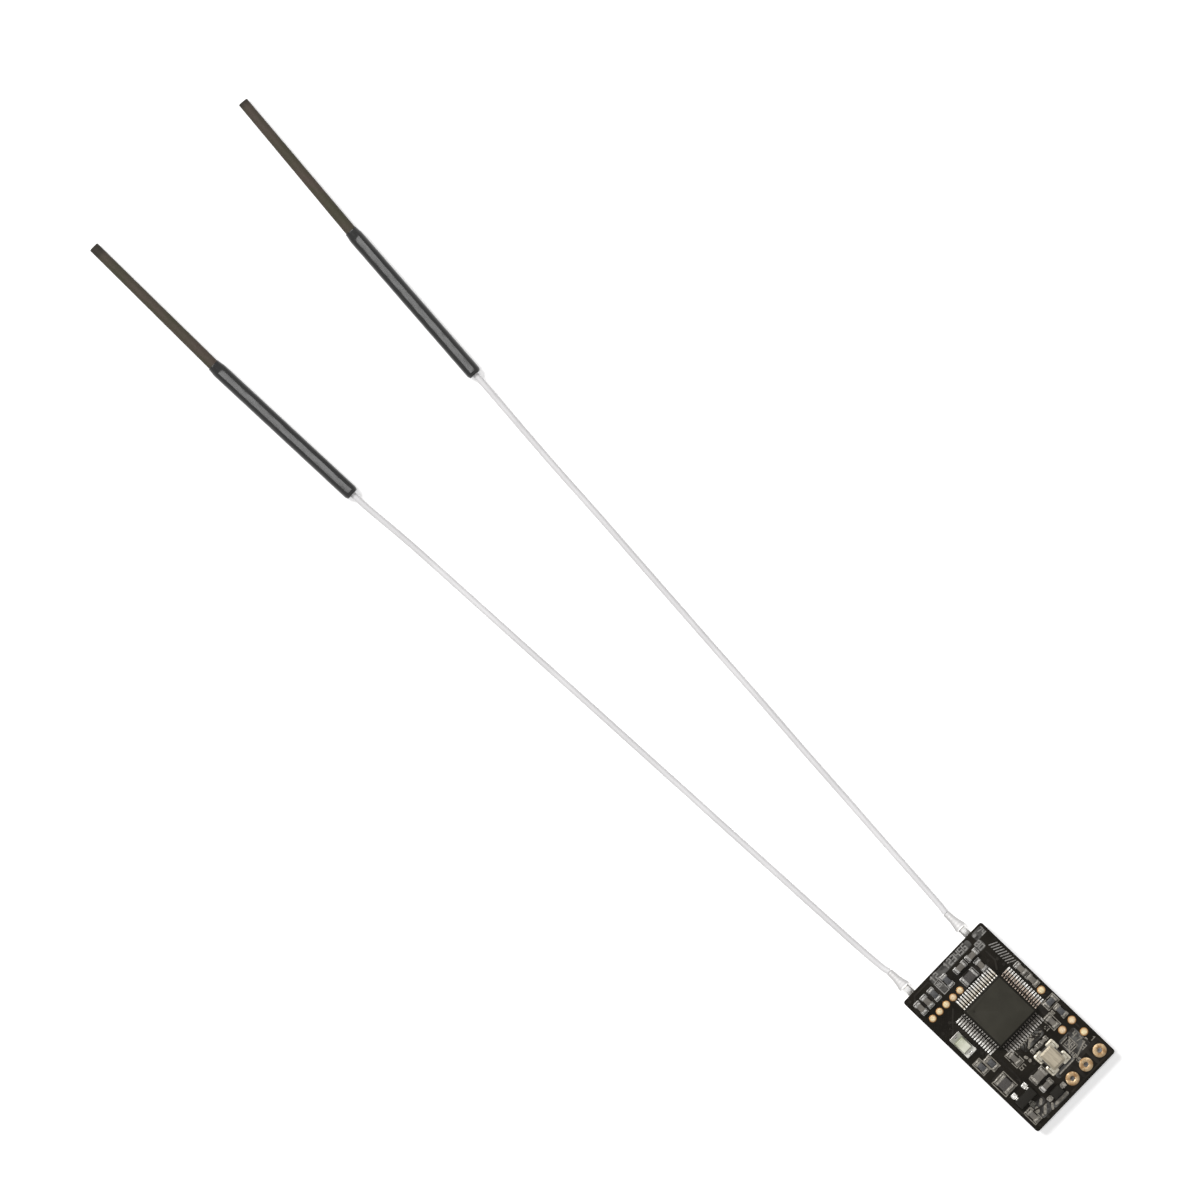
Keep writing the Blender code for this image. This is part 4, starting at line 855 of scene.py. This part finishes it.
print("printed strokes", len(fine_marks) + len(bold_marks) + len(hatch) + len(bands))

# %% [markdown]
# Copper under the mask stands about as high as a sheet of paper is thick. Most leads run out a
# little way and turn off at 45 degrees to a via, a plated pinhole that joins the two faces. Where
# the photograph shows the board paler between its marks, the mask is drawn as a thinner film.

# %% Traces and vias
COPPER, POUR, FAN, RUN = 0.02, 0.014, 0.15, 0.24
COPPER_SEAT = BOARD_TOP - 0.004
chip_size, CHIP = stance("microcontroller")
CHIP_REACH = chip_size[0] / 2
LEADS, LEAD_PITCH = 16, 0.4
order = np.arange(LEADS)
lead_offsets = (order - (LEADS - 1) / 2) * LEAD_PITCH

outward = 0.5 + 0.45 * abs(np.sin(order * 2.3))
sideways = np.where(order < LEADS / 2, -1, 1) * (0.3 + 0.35 * abs(np.cos(order * 1.7)))
first = np.column_stack([np.full(LEADS, CHIP_REACH), lead_offsets])
elbow = first + np.column_stack([outward, np.zeros(LEADS)])
last = elbow + np.column_stack([abs(sideways), sideways])
fan = np.vstack([np.hstack([first, elbow]), np.hstack([elbow, last])])


def turned_lines(lines, turn, centre):
    """Lines turned about the origin and moved to a centre."""
    spin = np.array([(math.cos(turn), math.sin(turn)), (-math.sin(turn), math.cos(turn))])
    return (lines.reshape(-1, 2) @ spin + centre).reshape(-1, 4)


quarters = [k * math.pi / 2 for k in range(4)]
fans = np.vstack([turned_lines(fan, turn, CHIP[:2]) for turn in quarters])
runs = np.vstack([lines_through(points) for points in (
    [(-11.0, -6.2), (-11.7, -5.6), (-11.7, -3.2), (-11.0, -2.9)],
    [(-9.0, 5.0), (-7.4, 5.0), (-6.4, 4.3)], [(-9.2, -3.7), (-8.6, -3.56)],
    [(1.2, -3.8), (3.3, -3.9), (5.2, -3.9), (6.0, -4.15)],
    [(2.4, -5.0), (3.2, -4.4), (3.2, -6.4), (3.7, -6.4)],
    [(-6.9, -3.4), (-6.0, -4.4), (-5.0, -5.4), (-4.7, -5.8)],
    [(9.3, 6.9), (11.7, 6.9), (11.7, -0.4)], [(6.2, 4.5), (6.5, 4.2), (6.5, 3.1)],
    [(5.8, 6.3), (6.8, 6.3)], [(10.2, -3.2), (10.2, -4.4), (9.8, -5.8)],
    [(8.0, 5.6), (9.4, 5.6)], [(7.4, -6.9), (9.3, -6.9)])])
pours = np.array([(-10.0, -6.2, -10.0, -3.6), (4.6, -5.8, 4.9, -5.7), (9.25, 0.3, 9.25, 6.6),
                  (9.6, 4.72, 11.4, 4.72), (9.6, 2.18, 11.4, 2.18), (7.0, -2.5, 7.2, -1.3),
                  (-8.3, 0.6, -8.3, 2.0), (0.7, 4.6, 2.3, 4.6)])
pour_widths = (1.9, 2.4, 0.5, 0.45, 0.45, 1.7, 1.6, 0.7)
via_spots = np.vstack([
    *[turned_lines(last, turn, CHIP[:2]).reshape(-1, 2)[::2] for turn in quarters],
    [(-11.6, -6.6), (-6.2, 5.4), (-5.6, -6.6), (-5.3, -5.5), (2.1, -3.9), (5.5, -4.1), (6.2, 5.4),
     (9.3, 3.0), (3.6, 3.4), (-9.3, 6.9), (11.7, -4.9), (11.7, -6.4), (5.6, -1.2), (-7.3, 5.3)],
])
VIA, VIA_HOLE = 0.22, 0.1
traces = Shape()
traces.add(slabs(pours, pour_widths, COPPER_SEAT, POUR))
traces.add(slabs(fans, FAN, COPPER_SEAT, COPPER))
traces.add(slabs(runs, RUN, COPPER_SEAT, COPPER))
clear_areas = np.array([
    (-11.9, -2.85, -10.85, 4.4), (-11.9, 5.1, -10.75, 6.95), (-10.75, 4.4, -9.45, 5.6),
    (5.95, 2.95, 9.4, 5.8), (8.5, -0.4, 9.4, 2.9), (9.2, -5.5, 11.5, -3.5),
    (11.0, -3.5, 11.65, -0.75), (2.75, -0.95, 3.85, 2.7), (-10.8, -2.75, -9.05, -1.95),
])
clear_low, clear_high = clear_areas[:, :2], clear_areas[:, 2:]
clear_spots = np.insert((clear_low + clear_high) / 2, 2, COPPER_SEAT, axis=1)
traces.add(blocks(clear_spots, clear_high - clear_low, plate(0.01, 0.006, 0.004), 0.3), 1)
traces.make("masked_traces", [covered, thin_mask], "board_black")
via_wall = turned([0.0, VIA, VIA - 0.01, VIA_HOLE, VIA_HOLE, 0.0],
                  [0.0, 0.0, 0.028, 0.028, 0.006, 0.006], 12)
via_seats = np.insert(via_spots, 2, BOARD_TOP - 0.003, axis=1)
Shape().add(placed(via_wall, via_seats)).make("vias", [covered], "board_black")
print("traces", len(fans) + len(runs), "vias", len(via_spots))

# %% [markdown]
# The gold discs are flat copper lands plated with a film of gold, and only the surface tension of
# the plating bath rounds their rims. The plated holes are barrels with a ring on both faces. Both
# are turned profiles, with far more steps than the solids have.

# %% Gold pads and plated holes
def disc(radius, height):
    """A low dome: as high as height * (0.3 + 0.7 sqrt(1 - (r / radius)**2)) at radius r."""
    t = np.linspace(0, math.pi / 2, 9)
    radii = np.concatenate([[0], radius * np.cos(t)])
    levels = np.concatenate([[0], height * (0.3 + 0.7 * np.sin(t))])
    radii, levels = np.insert(radii, 1, radius), np.insert(levels, 1, 0.0)
    return turned(radii, levels, 36)


for kind, count in (("program_pad", 5), ("test_pad", 4)):
    for number in range(1, count + 1):
        size, spot = stance(f"{kind}_{number}")
        Shape().add(placed(disc(size[0] / 2, size[2]), spot)).make(
            f"gold_{kind}_{number}", [gold], "pad_gold", f"{kind}_{number}")

BORE_RADIUS, WALL, RING, RING_HEIGHT, RING_SEAT = 0.32, 0.07, 0.925, 0.05, 0.01
top, bottom = BOARD_TOP + RING_SEAT, BOARD_LOW - RING_SEAT
face = [(BORE_RADIUS + 0.02, 0.03), (BORE_RADIUS + 0.07, 0.044), (0.5, RING_HEIGHT),
        (0.66, RING_HEIGHT), (0.78, 0.043), (RING - 0.06, 0.03), (RING - 0.01, 0.014), (RING, 0.0),
        (BORE_RADIUS + WALL, 0.0)]
barrel = [(BORE_RADIUS, top + 0.02), *[(r, top + h) for r, h in face],
          *[(r, bottom - h) for r, h in face[::-1]], (BORE_RADIUS, bottom - 0.02),
          (BORE_RADIUS, top + 0.02)]
for number in (1, 2, 3):
    _, spot = stance(f"plated_hole_{number}")
    Shape().add(placed(turned(*zip(*barrel), 48), (*spot[:2], 0.0))).make(
        f"ring_hole_{number}", [ring_gold], "pad_gold", f"plated_hole_{number}")
print("gold pads 9, plated holes 3")

# %% [markdown]
# The microcontroller is the receiver's face. Its moulding is drafted above and below the parting
# line, and its top is matt from the mould's spark-eroded steel, with a shallow dimple at the
# first lead. The top is therefore its own grid, finer near the dimple, whose height drops by
# depth * (1 - (d / radius)**2) where d is within the radius. The 64 leads are one strip, bent by
# a smooth step and copied, and each stands in its own solder on a tinned land.

# %% Chip finishes
SIDE_SHADE_BAND = (0.08, 0.03)  # how far below the chip's top its lighter top colour starts and is full; the sides below are a painted shade

moulding = Paint("chip_plastic", Specular_IOR_Level=0.12)
grain = moulding.noise(14.0, 4.0)
cloudy = moulding.noise(0.5, 3.0)
shade = moulding.mix(cloudy, (0.0283, 0.026, 0.019), (0.0358, 0.033, 0.0245))
# The drafted sides are painted darker than the top: a painted shade
unshaded_top = moulding.step(2, *[float(CHIP[2] + chip_size[2]) - below for below in SIDE_SHADE_BAND])
top_colour = moulding.mix(grain * 0.3, shade, (0.05, 0.047, 0.038))
moulding.dress(moulding.mix(unshaded_top, (0.016, 0.0145, 0.0115), top_colour),
               0.56 + grain * 0.14, grain, 0.008)
print("chip finish ready")

# %% Microcontroller
CHIP_SIDE, CHIP_TOP_SIDE, CHIP_HEIGHT, CHIP_STAND = 6.9, 6.25, 1.4, 0.1
LEAD_WIDTH, LEAD_THICK, LEAD_REACH, LEAD_FOOT = 0.19, 0.12, 1.05, 0.55
LEAD_ROOT, LEAD_SHOULDER, LAND_SINK = 0.2, 0.12, 0.012
DIMPLE, DIMPLE_DEPTH, DIMPLE_INSET, EDGE = 0.27, 0.07, 0.75, 0.05


def package_sides(draft, tall, stand, edge):
    """From the underside's middle out to its edge, out to the parting line, and in again to the
    top's rounded edge, which is left open for the top."""
    middle = stand + tall / 2
    below = [(POLE, stand), (draft, stand), (0.004, middle - 0.02), (0.0, middle),
             (0.004, middle + 0.02)]
    return np.vstack([below, rim(draft, stand + tall, edge)])


def dimple_rows(spot, level, radius, depth, steps):
    """Circles about a spot that shrink as radius * (1 - v) and sink by depth * (1 - (1 - v)**2), so
    that the package's outline runs straight into the bowl and closes at its middle."""
    _, angle = corner_turns(steps)
    v = np.linspace(0, 1, 6)[:, None]
    return np.stack([spot[0] + radius * (1 - v) * np.cos(angle),
                     spot[1] + radius * (1 - v) * np.sin(angle),
                     level - depth * (1 - (1 - v) ** 2) + 0 * angle], axis=-1)


sides = package_sides((CHIP_SIDE - CHIP_TOP_SIDE) / 2, CHIP_HEIGHT, CHIP_STAND, EDGE)
mark_at = -(CHIP_TOP_SIDE / 2 - DIMPLE_INSET)
bowl = dimple_rows((mark_at, mark_at), CHIP_STAND + CHIP_HEIGHT, DIMPLE, DIMPLE_DEPTH, 8)
walls = blocks(CHIP, (CHIP_SIDE, CHIP_SIDE), sides, 0.12, steps=8)[0]
body = Shape().add(np.concatenate([walls, bowl + CHIP]))


def gull_wing(high, reach, foot, root, shoulder, thick, width):
    """A bent strip. Its middle line runs out level, drops along a smooth step u*u*(3 - 2u) and runs
    out again along its foot, and its section is the strip's width by its thickness."""
    u = np.linspace(0, 1, 9)
    x = np.concatenate([[-root], shoulder + (reach - foot - shoulder) * u, [reach]])
    z = np.concatenate([[high], high - (high - thick / 2) * u * u * (3 - 2 * u), [thick / 2]])
    slope = np.stack([np.gradient(x), np.gradient(z)], axis=1)
    slope /= np.linalg.norm(slope, axis=1)[:, None]
    across = SQUARE / 2
    rise = across[:, 1] * thick
    points = np.stack([x[:, None] - slope[:, 1:] * rise, across[:, 0] * width + 0 * x[:, None],
                       z[:, None] + slope[:, :1] * rise], axis=-1)
    ends = [np.repeat(points[i].mean(0)[None, None], 4, axis=1) for i in (0, -1)]
    return np.concatenate([ends[0], points, ends[1]])


lead = gull_wing(CHIP_STAND + CHIP_HEIGHT / 2, LEAD_REACH, LEAD_FOOT, LEAD_ROOT, LEAD_SHOULDER,
                 LEAD_THICK, LEAD_WIDTH)
lead_turns = np.repeat(quarters, LEADS)


def beside_leads(away, sink=0.0):
    """Spots that far out from the chip's middle, one in line with each lead."""
    cos, sin, y = np.cos(lead_turns), np.sin(lead_turns), np.tile(lead_offsets, 4)
    spots = np.column_stack([away * cos - y * sin, away * sin + y * cos, 0 * y - sink])
    return CHIP + spots


body.add(placed(lead, beside_leads(CHIP_SIDE / 2), lead_turns), 1)
body.make("microcontroller_package", [moulding, leads_tin], "chip_plastic", "microcontroller")

LAND_SIZE, HEEL = (1.35, 0.23), 0.04
SOLDER_SIZE = (LEAD_FOOT + 0.42, 0.225)
land_middle = CHIP_REACH - LEAD_FOOT / 2 + 0.12
joints = Shape()
joints.add(blocks(beside_leads(land_middle, LAND_SINK), LAND_SIZE, plate(0.028, 0.02, 0.01), 0.08,
                  lead_turns))
joints.add(blocks(beside_leads(land_middle + HEEL), SOLDER_SIZE, mound(0.075, 0.05), 0.1, lead_turns))
joints.make("microcontroller_solder", [solder], "tin_plate")
print("leads", 4 * LEADS, "dimple", DIMPLE * 2, "mm")

# %% [markdown]
# The regulator and the diode are small mouldings of the same kind with stub leads. Their bodies
# are plain two-draft blocks, with the gull wing again at another size.

# %% Small packages
STUB_WIDTH, STUB_THICK, STUB_FOOT, STUB_SHOULDER = 0.42, 0.13, 0.3, 0.1
BODY_DRAFT = 0.09


def joint(shape, spots, land, fillet, turns=0.0, steps=3):
    """Adds flat lands and the solder on them, each given by size, profile and corner radius."""
    shape.add(blocks(spots, *land, turns))
    shape.add(blocks(spots, *fillet, turns, steps))


def small_package(node, name, size, leads, reach, metal):
    """A moulded block and its stub leads, each given by its quarter turn and its offset. The metal
    is what the leads and their joints are made of."""
    _, spot = stance(node)
    top = CHIP_STAND + size[2]
    rows = np.vstack([package_sides(BODY_DRAFT, size[2], CHIP_STAND, EDGE), (POLE, top)])
    shape = Shape().add(blocks(spot, size[:2], rows, 0.1, steps=4))
    stub = gull_wing(CHIP_STAND + size[2] / 2, reach, STUB_FOOT, LEAD_ROOT, STUB_SHOULDER,
                     STUB_THICK, STUB_WIDTH)
    pads = Shape()
    for quarter, offset in leads:
        turn = quarter * math.pi / 2
        away = size[quarter % 2] / 2
        aim = np.array([(math.cos(turn), math.sin(turn)), (-math.sin(turn), math.cos(turn))])
        shape.add(placed(stub, spot + (*((away, offset) @ aim), 0.0), turn), 1)
        toe = spot + (*((away + reach - 0.02, offset) @ aim), -LAND_SINK)
        joint(pads, toe, ((0.72, 0.72), plate(0.03, 0.02, 0.01), 0.12),
              ((0.62, 0.6), mound(0.14, 0.09), 0.16), turn)
    shape.make(name, [moulding, metal], "chip_plastic", node)
    pads.make(f"{name}_solder", [metal], "tin_plate")


small_package("regulator", "regulator_package", (1.4, 2.9, 0.95),
              ((0, 0.0), (2, 0.95), (2, -0.95)), 0.55, solder)
small_package("diode", "diode_package", (1.25, 1.7, 0.85), ((1, 0.0), (3, 0.0)), 0.4, tin)
print("small packages 2")

# %% [markdown]
# Chip capacitors are bars of fired ceramic with dipped metal ends a little proud of them; a chip
# resistor is a white alumina slip with a black glass film on top between wrapped ends; the bead
# and the inductor are grey ferrite. All lie on two lands, and the solder climbs their ends.

# %% Finishes of the chip parts
ceramic = Paint("ceramic_tan")
kiln = ceramic.noise(1.1, 3.0)
pores = ceramic.noise(12.0, 3.0)
ceramic.dress(ceramic.mix(kiln, (0.13, 0.115, 0.094), (0.076, 0.067, 0.055)),
              0.42 + pores * 0.16, pores, 0.006)

alumina = worn("alumina", (5.0,), (0.66, 0.65, 0.62), (0.5, 0.49, 0.46), (0.55, 0.0))
glass_black = worn("resistor_black", (4.0, 3.0), (0.024, 0.024, 0.026), (0.05, 0.049, 0.05),
                   (0.28, 0.14), Specular_IOR_Level=0.4)
ferrite = worn("ferrite", (9.0, 4.0), (0.04, 0.036, 0.034), (0.075, 0.068, 0.062), (0.66, 0.0), 0.01,
               Specular_IOR_Level=0.3)

# %% Chip parts
# Each kind: how long its end caps are, and its middle's finish and slot
KINDS = {
    "capacitor": (0.35, ceramic, "ceramic_tan"), "load_capacitor": (0.25, ceramic, "ceramic_tan"),
    "supply_capacitor": (0.4, ceramic, "ceramic_tan"), "resistor": (0.3, None, "resistor_black"),
    "ferrite_bead": (0.35, ferrite, "ferrite"), "power_inductor": (0.4, ferrite, "ferrite"),
}
PROUD, FILM = 0.03, 0.07  # how proud the caps are, and how thick a resistor's film is
LAND_OUT, LAND_IN, LAND_SIDE, LAND_SPARE = 0.22, 0.08, 0.08, 0.04
fillets = Shape()


def capped_bar(spot, size, cap, turn, film=False, edge=0.06):
    """A bar with two caps, as rounded blocks, and the spots of the caps and the way between them."""
    length, width, tall = size
    along = np.array([math.cos(turn), math.sin(turn), 0.0])
    middle = (length - cap, width - 2 * PROUD)
    shape = Shape()
    if film:
        base = soft_box(tall - PROUD - FILM, 0.015, base=PROUD)
        glass = soft_box(tall - PROUD, 0.03, base=tall - PROUD - FILM)
        shape.add(blocks(spot, middle, base, 0.03, turn))
        shape.add(blocks(spot, (length - 1.7 * cap, width - 2.4 * PROUD), glass, 0.04, turn), 2)
    else:
        shape.add(blocks(spot, middle, soft_box(tall - PROUD, 0.05, base=PROUD), 0.06, turn))
    ends = np.stack([spot + side * along * (length - cap) / 2 for side in (-1, 1)])
    shape.add(blocks(ends, (cap, width), soft_box(tall, edge), edge + 0.01, turn), 1)
    return shape, along


def chip_part(node, cap, middle, slot):
    """A capped bar on its lands and in its solder."""
    size, spot = stance(node)
    turn = 0.0 if size[0] >= size[1] else math.pi / 2
    length, width, tall = max(size[:2]), min(size[:2]), size[2]
    shape, along = capped_bar(spot, (length, width, tall), cap, turn, middle is None)
    finishes = [alumina, tin, glass_black] if middle is None else [middle, tin]
    shape.make(f"{node}_chip", finishes, slot, node)
    out = (length - cap) / 2 + (LAND_OUT - LAND_IN) / 2
    spots = np.stack([spot + side * along * out for side in (-1, 1)]) - (0.0, 0.0, LAND_SINK)
    land = np.array([cap + LAND_OUT + LAND_IN, width + 2 * LAND_SIDE])
    climb = min(0.62 * tall, 0.42)
    joint(fillets, spots, (land, plate(0.028, 0.02, 0.012), 0.1),
          (land - LAND_SPARE, mound(climb, 0.17), 0.12), turn)


chip_nodes = [node for node in sorted(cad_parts) if node.rstrip("_0123456789") in KINDS]
for node in chip_nodes:
    chip_part(node, *KINDS[node.rstrip("_0123456789")])
fillets.make("chip_part_solder", [tin], "tin_plate")
print("chip parts", len(chip_nodes))

# %% [markdown]
# The crystal is a ceramic tray with a metal lid seam-welded on. Four wide lands at its corners
# take more solder than they need, which gives it the pale star of the photograph. The light is a
# white base with plated ends under a clear pale lens. Its base is darker towards its left end, and
# its lens is painted near white towards its right end, a painted highlight.

# %% Crystal and light
STAR_OUT, LIGHT_OUT = 1.08, 1.42  # how far from the middle their solder lies
BARE_X, BARE_Y = (0.62, 0.86), (0.4, 0.62)  # where the tray's ceramic turns to plated corners
BASE_DARK_X, LENS_HIGHLIGHT_X = (-3.0, -2.0), (-3.8, -2.2)  # x over which the base, then the lens, turn from darker left ends to lighter right ends; the lens's is a painted highlight

size, spot = stance("crystal_lid")
thick = size[2]
lid = [(POLE, 0.0), (0.0, 0.0), (0.0, 0.05), (0.02, 0.07), (0.16, 0.08), (0.22, thick - 0.03),
       (0.27, thick), (0.34, thick), (POLE, thick)]
lid_metal = worn("lid_metal", (6.0, 3.0, (0.15, 1.0, 1.0)), (0.262, 0.232, 0.178),
                 (0.225, 0.197, 0.15), (0.4, 0.16), 0.004, metallic=1.0)
Shape().add(blocks(spot, size[:2], lid, 0.3, steps=6)).make(
    "crystal_cover", [lid_metal], "lid_metal", "crystal_lid")

_, spot = stance("crystal_base")
tray = Paint("crystal_ceramic")
tray_x, tray_y, _ = tray.axes()
fired = tray.mix(tray.noise(4.0, 3.0), (0.06, 0.052, 0.042), (0.025, 0.022, 0.018))
plated = abs(tray_x - float(spot[0])).between(*BARE_X) * abs(tray_y - float(spot[1])).between(*BARE_Y)
tray.dress(tray.mix(plated, fired, (0.4, 0.37, 0.3)), 0.6)
repaint("crystal_base", tray)
pale_solder = worn("pale_solder", (3.0, 4.0), (0.5, 0.47, 0.39), (0.34, 0.31, 0.25), (0.4, 0.2), 0.01,
                   metallic=1.0)
star = Shape()
joint(star, spot + np.insert(SQUARE * STAR_OUT, 2, -LAND_SINK, axis=1),
      ((1.5, 1.26), plate(0.035, 0.02, 0.02), 0.2), ((1.44, 1.2), mound(0.34, 0.34), 0.3), steps=5)
star.make("crystal_solder", [pale_solder], "tin_plate")

lens = Paint("lens_yellow")
# Painted highlight: the lens dull yellow at its left end and near white towards its right
lens.dress(lens.mix(lens.step(0, *LENS_HIGHLIGHT_X), (0.34, 0.355, 0.24), (0.7, 0.7, 0.58)),
           0.18 + lens.noise(3.0) * 0.12)
size, spot = stance("led_lens")
Shape().add(blocks(spot, size[:2], soft_box(size[2], 0.1, 0.12), 0.12, steps=5)).make(
    "light_lens", [lens], "lens_yellow", "led_lens")

housing = Paint("light_base_white")
# The base is darker towards its left end
base_left_colour = housing.mix(housing.noise(3.0, 3.0), (0.3, 0.3, 0.25), (0.23, 0.23, 0.19))
housing.dress(housing.mix(housing.step(0, *BASE_DARK_X), base_left_colour, (0.7, 0.69, 0.63)), 0.5)
repaint("led_base", housing)
_, spot = stance("led_base")
ends = spot + np.array([(side * LIGHT_OUT, 0.0, -LAND_SINK) for side in (-1, 1)])
light_solder = Shape()
joint(light_solder, ends, ((0.56, 1.66), plate(0.03, 0.02, 0.02), 0.1),
      ((0.52, 1.5), mound(0.3, 0.18), 0.15))
light_solder.make("light_solder", [solder], "tin_plate")
print("crystal and light made")

# %% [markdown]
# Underneath are the radio, the antenna switch, the sockets and two tall capacitors. They hardly
# show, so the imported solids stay, with the same finishes as above.

# %% Underside
BULK_LENGTH, BULK_WIDTH, BULK_CAP = 2.0, 1.25, 0.45

for node in ("radio_chip", "antenna_switch"):
    repaint(node, moulding)
socket_metal = worn("socket_metal", (2.5, 4.0), (0.8, 0.7, 0.5), (0.56, 0.46, 0.29), (0.28, 0.18),
                    metallic=1.0)
for number in (1, 2):
    repaint(f"antenna_socket_{number}", socket_metal)
    node = f"bulk_capacitor_{number}"
    size, spot = stance(node)
    shape, _ = capped_bar(spot, (BULK_LENGTH, BULK_WIDTH, size[2]), BULK_CAP, RIGHT_UP, edge=0.05)
    shape.make(f"{node}_chip", [ceramic, tin], "ceramic_tan", node)
print("underside finished")
